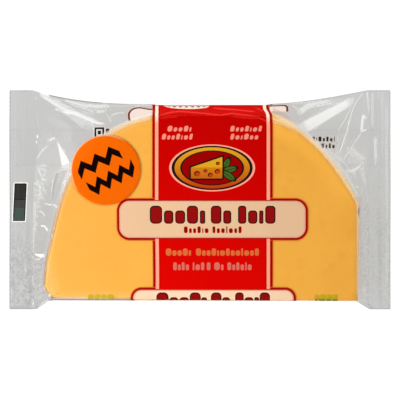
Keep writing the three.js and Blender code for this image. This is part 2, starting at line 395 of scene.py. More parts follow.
    (0.6, 0.35, 0.3, 0, 0, -86.3, -21.2, -85.2, -21.2),
    (0.6, 0.35, 0.3, 0, 0, -85.8, -34.4, -85.6, -35.5),
    (0.6, 0.35, 0.3, 0, 0, -85.6, -39.7, -85.7, -40.8),
    (0.6, 0.35, 0.3, 0, 0, -85.8, -44, -85.6, -45.1),
    (0.6, 0.35, 0.3, 0, 0, -85.3, -47, -84.6, -47.5),
    (0.1, 0.9, 0.7, 0, 0, -81.6, 49, -81.4, 20, -81.7, 8),
    (0.08, 0.9, 0.7, 0, 0, -78.3, 49, -78.5, 20, -78.2, -20),
    (-0.04, 0.8, 0.6, 0, 0, -79.8, 6, -80, -20, -79.9, -48),
    # the right seal
    (-0.4, 0.6, 0.6, 0.1, 0.1, 76, -47, 79, -49.6),
    (-0.4, 0.5, 0.5, 0.05, 0.05, 84.6, -49.2, 86.6, -49.6),
    (0.16, 1.1, 1, 0, 0, 85, 49, 84.8, 20, 85.1, -20, 84.8, -48),
    (0.1, 0.8, 0.7, 0, 0, 78, 14, 78.2, -20, 77.8, -48),
    (-0.05, 0.7, 0.6, 0, 0, 82.9, 49, 83, 0, 82.8, -48),
    (0.7, 0.5, 0.25, 0.1, 0.05, 75.9, 49.2, 76.5, 45.3, 77, 40),
    (0.48, 0.4, 0.3, 0, 0, 81.3, 49.2, 81.1, 45.3),
    (0.22, 0.35, 0.35, 0, 0, 81.1, 45.3, 80.4, 32.6),
    (0.18, 0.8, 0.7, 0, 0, 78.7, 49.1, 78.6, 32.6),
    (-0.06, 0.6, 0.6, 0, 0, 82.3, 48.9, 82.2, 32.6),
    (0.42, 1, 0.9, 0.05, 0.05, 79.6, 28, 80, 17.8),
    (0.34, 0.5, 0.4, 0, 0, 76.4, 49.1, 76.2, 43.5, 76.7, 38),
    (0.26, 0.6, 0.5, 0, 0, 78.2, 49.1, 78, 40.7, 78.3, 32.6),
    (0.12, 0.8, 0.6, 0, 0, 83.5, 49.1, 83.6, 31.7, 83.3, 15.3),
    (0.3, 0.8, 0.7, 0, 0, 80.1, 28.5, 79.8, 15.3),
    (0.2, 0.5, 0.4, 0, 0, 82.8, 49.4, 82.8, 13.5),
    (0.12, 1, 0.9, 0, 0, 77.6, 15.8, 77.8, -12.8),
]
BACK_CREASES = [
    (0, 1.6, 1, 0.5, 0.3, -76, 47, -64, 38, -50, 34),
    (0, 1.6, 1, 0.5, 0.3, 76, 46, 66, 36, 60, 28),
    (0, 1.2, 0.8, 0.4, 0.2, -76, -46, -72, -40),
    (0, 1.2, 0.8, 0.4, 0.2, 76, -46, 73.6, -40),
]


def scattered(count, low, high, slant, strength, seed):
    """Short creases at random places in a box, most of them along one direction."""
    dice = np.random.default_rng(seed)
    found = []
    for x, y, turn, part in dice.uniform((*low, -0.7, 0), (*high, 0.7, 1), (count, 4)):
        run_x, run_y = (0.3 + 1.1 * part) * np.array([math.cos(slant + turn), math.sin(slant + turn)])
        tone = strength * (0.5 + part if part > 0.5 else -0.5 * part - 0.3)
        found.append((tone, 0.3, 0.25, 0.06, 0.06, x - run_x, y - run_y, x + run_x, y + run_y))
    return found


SMALL_CREASES = [
    *scattered(90, (-75.6, -48.0), (-71.4, -25.0), 1.2, 0.26, 3),
    *scattered(44, (-75.6, -22.0), (-70.2, 16.0), -0.5, 0.34, 4),
    *scattered(130, (-86.0, -49.0), (-77.0, -12.0), 1.5, 0.52, 5),
    *scattered(64, (73.0, -47.0), (76.0, 6.0), 1.4, 0.42, 6),
    *scattered(22, (66.0, 4.0), (75.0, 20.0), 1.0, 0.4, 7),
    *scattered(44, (77.0, -49.0), (86.0, 48.0), 1.55, 0.3, 8),
]
SOFT_EDGE = 0.5 * MM


def stronger(one, other):
    return np.where(np.abs(other) > np.abs(one), other, one)


def crease_marks(x, y, creases):
    """The lift and the tone that a list of creases gives each point of a sheet."""
    lift, tone = np.zeros_like(x), np.zeros_like(x)
    for crease in creases:
        # the first number is the tone: above zero frost and painted highlight, below zero painted shade
        white, *ends = crease[:5]
        line = np.array(crease[5:]).reshape(-1, 2) * MM
        lengths = np.concatenate([[0], np.cumsum(np.hypot(*np.diff(line, axis=0).T))])
        for start, end, before, after in zip(line[:-1], line[1:], lengths[:-1], lengths[1:]):
            run = end - start
            along = ((x - start[0]) * run[0] + (y - start[1]) * run[1]) / np.dot(run, run)
            inside = np.clip(along, 0, 1)
            away = np.hypot(x - start[0] - inside * run[0], y - start[1] - inside * run[1])
            share = (before + inside * (after - before)) / lengths[-1]
            width = np.interp(share, (0, 1), ends[:2]) * MM
            taper = np.clip(6 * np.minimum(share + 0.08, 1.08 - share), 0, 1)
            slope = np.clip(1 - away / width, 0, 1)
            edge = np.clip((width - away) / np.maximum(SOFT_EDGE, 0.3 * width), 0, 1)
            lift = stronger(lift, np.interp(share, (0, 1), ends[2:]) * MM * taper * slope)
            tone = stronger(tone, white * taper * edge)
    return lift, tone


print("creases:", len(FRONT_CREASES), "front,", len(BACK_CREASES), "back")

# %% [markdown]
# ## Crinkle
#
# Between the sharp creases film is never quite flat. It has shallow folds that fan outwards from the slab,
# and smaller dents without a direction. Both come from Perlin noise: the fans read it in polar coordinates,
# so that they run along the rays, and a ridged form of it keeps their crests sharp. The narrow strips
# beside the slab's straight sides are more crumpled than the wide corners.

# %% Shallow folds and dents
LABEL = dict(x=-42.6 * MM, y=13.5 * MM, radius=15.8 * MM)


def read_noise(a, b, seed):
    flat = [noise.noise(Vector((p, q, seed))) for p, q in zip(np.ravel(a), np.ravel(b))]
    return np.array(flat).reshape(np.shape(a))


def crumpled(x, y):
    """1 in the crumpled strips low on the left and along the right, and 0 elsewhere."""
    low_left = smooth(-66 * MM, -72 * MM, x) * smooth(-14 * MM, -30 * MM, y)
    right = smooth(70 * MM, 73 * MM, x) * smooth(16 * MM, 4 * MM, y)
    return np.maximum(low_left, 0.6 * right)


def crinkle(x, y, seed):
    angle, radius = polar(x, y)
    fans = 1 - 2 * np.abs(read_noise(angle * 9, radius * 22, seed))
    dents = read_noise(x * 160, y * 160, seed + 7.3)
    small = 1 - 2 * np.abs(read_noise(x * 430, y * 430, seed + 3.1))
    from_label = np.hypot(x - LABEL["x"], y - LABEL["y"])
    clear_of_label = 1 - smooth(0, 3 * MM, LABEL["radius"] + 1.5 * MM - from_label)
    rough = crumpled(x, y) * smooth(SEAL_LINE, SEAL_LINE - 3 * MM, np.abs(x))
    share = np.maximum(web_share(x, y), 0.8 * rough)
    return share * clear_of_label * (0.18 * fans + 0.16 * dents + (0.03 + 0.16 * rough) * small) * MM


# %% [markdown]
# ## The two sheets of film
#
# Each sheet starts as a flat grid from Blender's create_grid operator. Its columns become cross sections of
# the tube, from the bottom fold to the top fold, and its rows are spaced evenly along the film and not
# along the table, so the steep film on the slab's sides gets its share of faces. The length along the film
# is kept as the sheet's UV map: print that is laid out in it bends round the folds as real print does.
# Columns are close together in the seals, where the sheet has crimped ribs, and in the open film.

# %% Grid, ribs and cut ends
ROWS = 280
HEM_ROWS = np.array([0, 0.1, 0.22, 0.36, 0.55]) * MM
RIB = dict(pitch=1.52 * MM, rise=0.022 * MM)
CUT = dict(pitch=1.9 * MM, depth=0.12 * MM)
SEAL_COLUMNS = np.linspace(SEAL_LINE, HALF_LENGTH, 30)
OPEN_COLUMNS = np.linspace(40 * MM, SEAL_LINE, 101)[:-1]
MIDDLE_COLUMNS = np.linspace(-40 * MM, 40 * MM, 61)[1:-1]
COLUMNS = np.concatenate([
    -SEAL_COLUMNS[::-1], -OPEN_COLUMNS[::-1], MIDDLE_COLUMNS, OPEN_COLUMNS, SEAL_COLUMNS,
])


def seal_share(x):
    return smooth(SEAL_LINE - 0.4 * MM, SEAL_LINE + 0.6 * MM, np.abs(x))


def ribs(x, y):
    edge = smooth(0, 1.5 * MM, HALF_LENGTH - np.abs(x))
    wobble = 1 + 0.4 * np.sin(y * 210) * np.sin(y * 77 + 1)
    turn = 2 * math.pi * (np.abs(x) - SEAL_LINE) / RIB["pitch"]
    return seal_share(x) * edge * RIB["rise"] * wobble * np.sin(turn)


def cut_end(x, y):
    """Draws the last column in along the zigzag of the knife."""
    tooth = np.abs((y / CUT["pitch"]) % 1 - 0.5) * 2
    last = smooth(HALF_LENGTH - 0.9 * MM, HALF_LENGTH, np.abs(x))
    return x - np.sign(x) * CUT["depth"] * tooth * last


def section_rows(x, rest):
    """Places of a column's rows, evenly spaced along the film, and lengths from the middle of the face."""
    fine = np.linspace(0, 1, 900)
    y = bottom_fold(x) + (top_fold(x) - bottom_fold(x)) * fine
    z = rest(np.full_like(y, x), y)
    length = np.concatenate([[0], np.cumsum(np.hypot(np.diff(y), np.diff(z)))])
    inner = np.linspace(HEM_ROWS[-1], length[-1] - HEM_ROWS[-1], ROWS - 2 * len(HEM_ROWS) + 3)[1:-1]
    wanted = np.concatenate([HEM_ROWS, inner, length[-1] - HEM_ROWS[::-1]])
    return np.interp(wanted, length, y), wanted - np.interp(0, y, length)


def to_mesh(bm, name):
    mesh = bpy.data.meshes.new(name)
    bm.to_mesh(mesh)
    bm.free()
    print(name, "faces:", len(mesh.polygons))
    return mesh


def film_grid(name, columns, rows, lay, face_down):
    """A grid of film. From each point's shares across and up, lay gives its place, layout, tone and haze."""
    bm = bmesh.new()
    bmesh.ops.create_grid(bm, x_segments=columns, y_segments=rows, size=1)
    shares = (np.array([vert.co[:2] for vert in bm.verts]) + 1) / 2
    places, layouts, tone, haze = lay(*shares.T)
    for vert, *place in zip(bm.verts, *places):
        vert.co = place
    layouts = np.stack(layouts, 1)
    layout = bm.loops.layers.uv.new("layout")
    for face in bm.faces:
        for loop in face.loops:
            loop[layout].uv = layouts[loop.vert.index]
        face.smooth = True
    if face_down:
        bmesh.ops.reverse_faces(bm, faces=bm.faces[:])
    mesh = to_mesh(bm, name)
    for label, values in (("tone", tone), ("haze", haze)):
        mesh.attributes.new(label, "FLOAT", "POINT").data.foreach_set("value", np.asarray(values, np.float32))
    return mesh


def sheet_mesh(name, rest, shape, face_down):
    """A sheet whose shape gives the height, tone and haze of each point from its x and y."""
    sections = [section_rows(x, rest) for x in COLUMNS]

    def lay(across, up):
        column = np.rint(across * (len(COLUMNS) - 1)).astype(int)
        row = np.rint(up * ROWS).astype(int)
        x = COLUMNS[column]
        y, along = np.array([[part[r] for part in sections[c]] for c, r in zip(column, row)]).T
        z, tone, haze = shape(x, y)
        print_x = x if face_down else x + print_shift(x, y)
        return (cut_end(x, y), y, z), (print_x, along), tone, haze

    return film_grid(name, len(COLUMNS) - 1, ROWS, lay, face_down)


def add_piece(name, mesh, material, slot, *nodes):
    piece = put(name, mesh)
    mesh.materials.append(material)
    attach(piece, "root")
    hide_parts(*nodes)


# %% [markdown]
# ## Tone and haze of the sheets
#
# Loose film looks greyer than film that clings to cheese, because air lies behind it. So the back sheet is
# hazy everywhere but under the slab. The outer edge of a pack gets a thin line of painted shade, where the
# film is folded over and seen edge on, and low on the left that line is a dark lip of painted shade just
# inside the fold. Round the slab's rim the film gets a painted highlight, with a pale fringe of painted
# highlight outside it and a line of painted shade on the right side. In the seals it has grey streaks along
# the ribs, painted shade low down and beside the slab, and painted light high on the right; in the crumpled
# parts it has a fine mottle. Each of these is a tone from the place of a point alone, and the strongest one
# at a point wins.

# %% Tone of the folds, the seals and the rim
WEB_HAZE = 0.13
EDGE_LINE = 0.55 * MM
# The lip: a line of painted shade just inside the bottom fold, low on the left
LIP_SHADE = dict(inward=0.42 * MM, width=0.46 * MM, tone=0.88)
# How dark the painted shade of the edge line is at places along the two folds: x in millimetres and a share
TOP_LINE = np.array([
    (-77, 0.4), (-75.5, 0.05), (-70, 0.05), (-68.3, 0.85), (-46, 0.75), (-43.5, 0.2), (-41, 0.45),
    (-34, 0.45), (-32, 0.05), (-22.5, 0.05), (-20.5, 0.8), (27, 0.95), (28, 0.1), (31, 0.1), (33, 0.5),
    (40, 0.35), (50, 0.2), (64, 0.4), (77, 0.45),
])
BOTTOM_LINE = np.array([
    (-77, 0.45), (-74, 0.1), (-69, 0.1), (-67.4, 0.92), (-32, 0.92), (-30.5, 0), (71, 0), (76, 0.4),
])
RIM_HIGHLIGHT = 0.30
RIM_HIGHLIGHT_ALONG = np.array([(-72, 0.25), (-55, 0.8), (-25, 1.0), (25, 1.0), (34, 0.5), (42, 0.8), (50, 1.2)])
# White marks catch more light near the key light on the left, so these painted highlights are made fainter
# there
FAINTER_ALONG = np.array([(-80, 0.6), (-76, 0.6), (-74, 0.9), (0, 0.9), (60, 1.0), (76, 1.0), (78, 0.95)])
# How far the print has slipped at heights along the film, both in millimetres
SLIP_ALONG = np.array([(33, 0), (38, 0.15), (39.2, 0.4), (40.3, 1.0), (41.2, 1.5), (43.6, 1.65)])


def read_off(table, place):
    return np.interp(place / MM, *table.T)


def bump_at(place, middle, width):
    """1 in the middle of a soft line and 0 away from it."""
    return np.exp(-(((place - middle) / width) ** 2))


def print_shift(x, y):
    """How far the print has slipped: the right keyline near the crown, and the left one near the base."""
    crown = read_off(SLIP_ALONG, y) * MM * smooth(12 * MM, 27 * MM, x) * smooth(50 * MM, 36 * MM, x)
    base = 0.35 * MM * smooth(0, -36 * MM, y) * smooth(25 * MM, -15 * MM, x)
    return crown - base


def edge_tone(x, y):
    """Painted shade along the outer edge, where the tube is folded and where it is cut, and at the low
    corners of the seals.
    """
    low_fold = y < 0
    inward = np.where(low_fold, y - bottom_fold(x), top_fold(x) - y)
    on_band = smooth(-22 * MM, -20 * MM, x) * smooth(28 * MM, 27 * MM, x)
    width = EDGE_LINE * np.where(low_fold, 1.6, 1 + 0.8 * on_band)
    lip_shade = LIP_SHADE["tone"] * bump_at(inward, LIP_SHADE["inward"], LIP_SHADE["width"])
    line = np.where(low_fold & (x < 0), lip_shade, np.clip(1.3 - 1.3 * inward / width, 0, 1))
    fold = line * np.where(low_fold, read_off(BOTTOM_LINE, x), read_off(TOP_LINE, x))
    end = np.where(x < 0, 0.6, 0.4) * np.clip(1.3 - 1.3 * (HALF_LENGTH - np.abs(x)) / EDGE_LINE, 0, 1)
    # painted shade at the low corners of the seals
    corner_shade = 0.10 * smooth(-43 * MM, -47 * MM, y) * smooth(78 * MM, 80 * MM, np.abs(x))
    return -np.maximum(np.maximum(fold, end), corner_shade)


def seal_tone(x, y):
    """Streaks along the ribs of the seals and a mottle where the film is crumpled, with painted shade low on
    the seals and beside the slab on the right, and painted light high on the right seal.
    """
    mottle = read_noise(x * 900, y * 800, 2.2) * 0.4 + read_noise(x * 1900, y * 1500, 6.1) * 0.4
    mottle = crumpled(x, y) * np.clip(mottle - 0.09, -0.22, 0.22) * (1 - 0.3 * seal_share(x))
    streaks = read_noise(x * 620, y * 9 + np.sign(x) * 5, 8.8) + 0.5 * read_noise(x * 700, y * 70, 4.4)
    upper_light = 0.08 * smooth(8 * MM, 30 * MM, y) * (x > 0)
    lower_shade = smooth(0, -22 * MM, y) * np.where(x < 0, 0.12, 0.05)
    slab_shadow = 0.06 * smooth(72.5 * MM, 73.5 * MM, x) * smooth(8 * MM, -8 * MM, y)
    return mottle + seal_share(x) * (0.14 * streaks + upper_light - lower_shade) - slab_shadow


def rim_tone(x, y):
    """A painted highlight round the slab's rim with a pale fringe outside it, a painted highlight line on its
    right shoulder and a line of painted shade on its right side.
    """
    radius, face, foot, _, _ = on_ray(x, y)
    beyond = (radius - foot) / MM
    at_side = smooth(24 * MM, 8 * MM, y)
    # painted highlight on the film where it comes down over the rim
    frost_and_highlight = RIM_HIGHLIGHT * read_off(RIM_HIGHLIGHT_ALONG, x) * smooth(face - 1.6 * MM, foot - 0.2 * MM, radius)
    frost_and_highlight = frost_and_highlight * smooth(0.8, 0.0, beyond + 0.7 * at_side)
    shoulder = smooth(52 * MM, 60 * MM, x) * smooth(0, 6 * MM, y) * smooth(34 * MM, 22 * MM, y)
    highlight_fringe = (0.12 + 0.14 * shoulder) * bump_at(beyond, 0.7, 0.6) * smooth(30 * MM, 26 * MM, y)
    highlight_line = 0.22 * bump_at(beyond, -0.05 - 0.35 * at_side, 0.3) * smooth(-20 * MM, 20 * MM, x)
    right_side = smooth(50 * MM, 66 * MM, x) * smooth(20 * MM, 6 * MM, y)
    shade_line = 0.20 * bump_at(beyond, -0.65, 0.32) * right_side
    beside_band = 1 - smooth(-22.6 * MM, -21.6 * MM, x) * smooth(34.5 * MM, 33.5 * MM, x)
    over_base = smooth(-43 * MM, -44.5 * MM, y)
    return (np.maximum(np.maximum(frost_and_highlight, highlight_fringe), highlight_line) - shade_line) * beside_band * (1 - over_base)


# %% Shapes of the two sheets
def front_shape(x, y):
    lift, tone = crease_marks(x, y, SMALL_CREASES + FRONT_CREASES)
    tone = stronger(seal_tone(x, y), tone)
    tone = np.where(tone > 0, tone * read_off(FAINTER_ALONG, x), tone)
    tone = stronger(rim_tone(x, y), stronger(tone, edge_tone(x, y)))
    free = smooth(0, 1.2 * MM, np.minimum(top_fold(x) - y, y - bottom_fold(x)))
    folds = crinkle(x, y, 11.0) * (1 - seal_share(x))
    height = front_rest(x, y) + free * (lift + folds) + seal_wave(x, y) + ribs(x, y)
    return height, tone, np.zeros_like(x)


def back_shape(x, y):
    lift, tone = crease_marks(x, y, BACK_CREASES)
    radius, _, foot, _, _ = on_ray(x, y)
    loose = smooth(-3 * MM, -1.5 * MM, radius - foot)
    folds = crinkle(x, y, 41.0) * (1 - seal_share(x))
    height = back_rest(x, y) + 0.8 * folds - 0.5 * np.abs(lift) * loose + seal_wave(x, y) + ribs(x, y)
    return np.maximum(height, UNDERSIDE * 0.6), tone, WEB_HAZE * loose


# %% [markdown]
# ## Materials as written sums
#
# Print is a matter of where a point lies, so most of a material here is arithmetic on two coordinates. The
# class below wraps a socket: adding, multiplying or comparing wraps adds the Math nodes that do it, and a
# mask reads like the sum that it is.

# %% A socket that can be calculated with
class Wire:
    def __init__(self, finish, socket):
        self.finish = finish
        self.socket = socket

    def calc(self, operation, *others, clamp=False):
        settings = {"operation": operation, "use_clamp": clamp}
        return self.finish.node("ShaderNodeMath", settings, dict(enumerate((self, *others))))

    def __add__(self, other):
        return self.calc("ADD", other)

    def __sub__(self, other):
        return self.calc("SUBTRACT", other)

    def __rsub__(self, other):
        return self.finish.node("ShaderNodeMath", {"operation": "SUBTRACT"}, {0: other, 1: self})

    def __mul__(self, other):
        return self.calc("MULTIPLY", other)

    def __truediv__(self, other):
        return self.calc("DIVIDE", other)

    __radd__ = __add__
    __rmul__ = __mul__

    def abs(self):
        return self.calc("ABSOLUTE")

    def max(self, other):
        return self.calc("MAXIMUM", other)

    def min(self, other):
        return self.calc("MINIMUM", other)

    def ramp(self, slope, start=0.0):
        """A straight slope that is cut off below 0 and above 1."""
        return self.calc("MULTIPLY_ADD", slope, start, clamp=True)

    def below(self, limit, soft=0.12):
        """1 where the value is below the limit and 0 above it, with a soft edge of the given width."""
        return self.ramp(-1 / soft, 0.5 + limit / soft)

    def within(self, low, high, soft=0.12):
        return (self - (low + high) / 2).abs().below((high - low) / 2, soft)


# %% A material and its nodes
class Finish:
    """A material whose nodes are added by one method."""

    def __init__(self, name):
        self.material = bpy.data.materials.new(name)
        self.material.use_nodes = True
        self.tree = self.material.node_tree
        self.tree.nodes.clear()
        self.output = self.tree.nodes.new("ShaderNodeOutputMaterial")

    def node(self, kind, settings=None, inputs=None, output=0):
        node = self.tree.nodes.new(kind)
        for key, value in (settings or {}).items():
            if key == "steps":
                self.set_steps(node.color_ramp, value)
            else:
                setattr(node, key, value)
        for key, value in (inputs or {}).items():
            if isinstance(value, Wire):
                self.tree.links.new(value.socket, node.inputs[key])
            else:
                node.inputs[key].default_value = value
        return Wire(self, node.outputs[output])

    def set_steps(self, ramp, steps):
        """Gives a colour ramp sharp steps, each with its place and its colour."""
        ramp.interpolation = "CONSTANT"
        for index, (place, colour) in enumerate(steps):
            stop = ramp.elements[index] if index < 2 else ramp.elements.new(place)
            stop.position = place
            stop.color = (*colour, 1)

    def blend(self, share, low, high):
        """A colour that goes from low to high as the share goes from 0 to 1."""
        low, high = [colour if isinstance(colour, Wire) else (*colour, 1) for colour in (low, high)]
        return self.node("ShaderNodeMix", {"data_type": "RGBA"}, {0: share, 6: low, 7: high}, output=2)

    def noise(self, scale, detail=2.0, roughness=0.5):
        inputs = {"Vector": self.place(), "Scale": scale, "Detail": detail, "Roughness": roughness}
        return self.node("ShaderNodeTexNoise", {}, inputs)

    def place(self):
        return self.node("ShaderNodeTexCoord", output="Object")

    def split(self, vector):
        return [self.node("ShaderNodeSeparateXYZ", {}, {0: vector}, output=index) for index in range(3)]

    def bump(self, strength, distance, height):
        return self.node("ShaderNodeBump", {}, {"Strength": strength, "Distance": distance, "Height": height})

    def skin(self, inputs):
        return self.node("ShaderNodeBsdfPrincipled", {}, inputs)

    def clear(self, tint):
        return self.node("ShaderNodeBsdfTransparent", {}, {"Color": (*tint, 1)})

    def mix(self, share, one, other):
        return self.node("ShaderNodeMixShader", {}, {0: share, 1: one, 2: other})

    def finish(self, shader):
        self.tree.links.new(shader.socket, self.output.inputs["Surface"])
        return self.material


# %% [markdown]
# ## Ink
#
# The print is red and cream with dark red keylines: a band across the middle of the bag that runs all the
# way round, panels with round corners across it, plain beads where a pack has its words, and a small badge.
# All of it is measured in millimetres along the film, from the middle of the face. Ink bleeds a little, so
# a thin brighter red line lies beside the dark ones.

# %% Inks
RED = (0.64, 0.0012, 0.0001)
SHADED_RED = (0.47, 0.0004, 0.0001)
DARK_RED = (0.29, 0.0006, 0.0004)
BACK_LINE = (0.15, 0.003, 0.001)
HALO = (0.98, 0.72, 0.66)
BLEED = (0.85, 0.07, 0.012)
REFLECTED_CHEESE = (1.0, 0.66, 0.42)
SHADED_GREEN = (0.15, 0.19, 0.012)
CREAM = (0.73, 0.47, 0.28)
LOWER_CREAM = (0.88, 0.60, 0.40)
PALE_CREAM = (0.98, 0.83, 0.70)
PALE_PINK = (0.90, 0.345, 0.25)
WORD_PINK = (0.80, 0.25, 0.18)
KEY_PINK = (0.74, 0.33, 0.235)
BLACK = (0.012, 0.005, 0.005)
WORD_RED = (0.26, 0.004, 0.004)
ORANGE = (0.62, 0.13, 0.035)
PINK = (0.60, 0.14, 0.10)
GOLD = (0.66, 0.33, 0.012)
DEEP_ORANGE = (0.46, 0.045, 0.004)
LEAF = (0.05, 0.12, 0.012)
LIME = (0.50, 0.45, 0.004)
MARK_WHITE = (0.97, 0.97, 0.96)
GLINT_RED = (0.98, 0.035, 0.02)
SHADE = (0.10, 0.095, 0.09)
LOW_SHADE = (0.16, 0.10, 0.045)
WARM_SHADE = (0.40, 0.22, 0.05)

# %% [markdown]
# ## Shapes with soft edges
#
# A mask is 1 inside a shape and 0 outside it. It is worked out from the distance to the shape's edge, and
# its edge is blurred by a tenth of a millimetre, so that it isn't jagged. A whole line of type becomes one
# shape: a ramp with sharp steps tells each point which bead it is nearest to, how wide that bead is and how
# high.

# %% Shape helpers
def rounded(across, up, corner):
    """Distance to a shape with round corners, from how far a point lies past its straight parts both ways."""
    outside = (across.max(0) * across.max(0) + up.max(0) * up.max(0)).calc("SQRT")
    return outside + across.max(up).min(0) - corner


def panel_depth(x, y, left, right, low, high, corner):
    """Distance to the edge of a round-cornered panel: negative inside, positive outside."""
    across = (x - (left + right) / 2).abs() - ((right - left) / 2 - corner)
    up = (y - (low + high) / 2).abs() - ((high - low) / 2 - corner)
    return rounded(across, up, corner)


def oval(x, y, centre_x, centre_y, half_x, half_y):
    """1 on the edge of an oval, and less inside it."""
    across, up = (x - centre_x) / half_x, (y - centre_y) / half_y
    return (across * across + up * up).calc("SQRT")


def corner_depth(x, y, *corners):
    """Distance past the edges of a convex shape with these corners, given the left-hand way round."""
    depth = None
    for (from_x, from_y), (to_x, to_y) in zip(corners, corners[1:] + corners[:1]):
        length = math.hypot(to_x - from_x, to_y - from_y)
        out_x, out_y = (to_y - from_y) / length, (from_x - to_x) / length
        side = x * out_x + y * out_y - (from_x * out_x + from_y * out_y)
        depth = side if depth is None else depth.max(side)
    return depth


BEAD_WIDTHS = (1.2, 0.95, 1.0, 1.1, 0.6)
LOW_BEAD = 0.74
RAMP_ROOM = 8


def beads(spans, advance, tall_every=3, gap=0.2):
    """Beads for some words: the middle, half width and height of each. A word starts with a tall one."""
    row = []
    for left, right in spans:
        count = max(1, round((right - left) / advance))
        widths = [BEAD_WIDTHS[(index + len(row)) % 5] for index in range(count)]
        scale = (right - left + gap * advance) / sum(widths)
        at = left
        for index, width in enumerate(widths):
            half = (width * scale - gap * advance) / 2
            row.append((at + half, half, 1.0 if index % tall_every == 0 else LOW_BEAD))
            at += width * scale
    return row


def bead_depth(x, y, row, low, high, corner=0.45):
    """Distance to the nearest bead of a row that stands on the line at low."""
    first, last = row[0][0] - RAMP_ROOM, row[-1][0] + RAMP_ROOM
    length = last - first
    between = [(one[0] + one[1] + two[0] - two[1]) / 2 for one, two in zip(row[:-1], row[1:])]
    limits = [0.0] + [(place - first) / length for place in between]
    values = [((middle - first) / length, half, tall) for middle, half, tall in row]
    steps = {"steps": list(zip(limits, values))}
    middle, half, tall = x.finish.split(x.finish.node("ShaderNodeValToRGB", steps, {0: (x - first) / length}))
    rise = tall * ((high - low) / 2)
    round_off = half * corner * 2
    across = (x - (middle * length + first)).abs() - half + round_off
    up = (y - low - rise).abs() - rise + round_off
    return rounded(across, up, round_off)


# %% [markdown]
# ## Layers of ink
#
# Ink is laid on ink, from the widest field to the smallest mark, and each layer hides what is under it. The
# film stays clear where no layer lies. The back is printed in the same way, but its print is seen from its
# inner side and through the front sheet, where its panels have a pale halo and the upper one is only a thin
# wash.

# %% Print and band
BAND = (-21.45, 32.75)
KEYLINE = 1.0
STRIPE = 1.75
INNER_LINE = 0.35


class Print:
    """Layers of ink on film: the colour on top, how much it covers, and where it only tints the film."""

    def __init__(self, finish):
        self.finish = finish
        self.colour, self.cover, self.wash = None, None, None

    def lay(self, mask, colour, strength=0.97):
        if self.cover is None:
            self.colour, self.cover = self.finish.blend(mask, colour, colour), mask * strength
            return
        self.colour = self.finish.blend(mask, self.colour, colour)
        self.cover = self.cover.max(mask * strength)

    def thin(self, mask):
        """Turns the ink under the mask into a pale wash that light comes through."""
        self.cover = self.cover * (1 - mask * 0.88)
        self.wash = mask if self.wash is None else self.wash.max(mask)


def lay_words(ink, x, y, words, low, high, colour, inset=0.0, strength=0.97):
    """A row of beads in one colour, each drawn in by the inset."""
    row = bead_depth(x, y, words, low, high)
    ink.lay(row.below(-inset).min(y.within(low - 0.3, high + 0.4)), colour, strength)


def lay_band(ink, x, y, panels, thin=False):
    """The red band with its keylines. Panels cross it, and their own keylines stop where the band begins."""
    out = (x - (BAND[0] + BAND[1]) / 2).abs()
    half = (BAND[1] - BAND[0]) / 2
    pink_edge = half - KEYLINE
    red_edge = pink_edge - STRIPE
    beside = 1 - out.below(pink_edge)
    ink.lay(out.below(half + 0.25, 0.4), BLEED, 0.75)
    ink.lay(out.below(half), DARK_RED)
    ink.lay(out.below(pink_edge), ink.finish.blend((y - 34.5).ramp(0.27), PALE_PINK, PALE_CREAM))
    ink.lay(out.within(pink_edge - 0.22, pink_edge + 0.05), BLEED)
    ink.lay(out.below(red_edge + 0.2, 0.2), BLEED)
    ink.lay(out.below(red_edge), DARK_RED)
    # painted shade and light: the red is darker towards the top of the face and brighter low down and at the
    # crown
    lit_red = y.ramp(-0.012, 0.5).max((y - 37.5).ramp(0.4))
    ink.lay(out.below(red_edge - INNER_LINE), ink.finish.blend(lit_red, SHADED_RED, RED), 0.985)
    fill = ink.finish.blend(y.below(-35), CREAM, LOWER_CREAM)
    for depth in panels:
        if thin:
            ink.lay(depth.below(0.6, 0.6).min(beside), HALO, 0.4)
        else:
            ink.lay(depth.below(0.3, 0.4).min(beside), BLEED, 0.75)
        ink.lay(depth.below(-0.6).max(depth.below(0) * beside), BACK_LINE if thin else DARK_RED, 0.95)
        ink.lay(depth.below(-1.05 if thin else -0.97), KEY_PINK, 0.93)
        ink.lay(depth.below(-1.5), fill, 0.93)
        if thin:
            ink.thin(depth.below(-0.9) * beside * (1 - y.below(0)))


# %% [markdown]
# ## Film
#
# Clear film hardly has a colour: what is seen is what lies behind it, a little greyed, and the reflections
# of the lamps. So the shader mixes a tinted Transparent with a Principled shader, and the mix factor says
# how much of the film is covered. Bare film is covered a little by a white mirror, which gives its glints,
# hazy film by a dull grey skin, and ink covers it almost wholly. The gloss of the mirror part comes from
# Metallic, so that one Principled shader serves all three. Light and shade are also painted into the skin:
# white marks on bare film are partly frost and partly painted highlight, they turn into a painted red
# highlight where they cross the band, grey marks are painted shade, and the dark lip along the bottom fold
# is a brown painted shade, as of cheese in shadow seen through it. The grey of the haze is painted darker
# on the left, where the key light falls strongest.

# %% Film shader
CLEAR_GLOSS = 0.010
HAZE_LEFT = (0.17, 0.172, 0.17)
HAZE_RIGHT = (0.36, 0.365, 0.355)
WASH = (1.0, 0.86, 0.80)


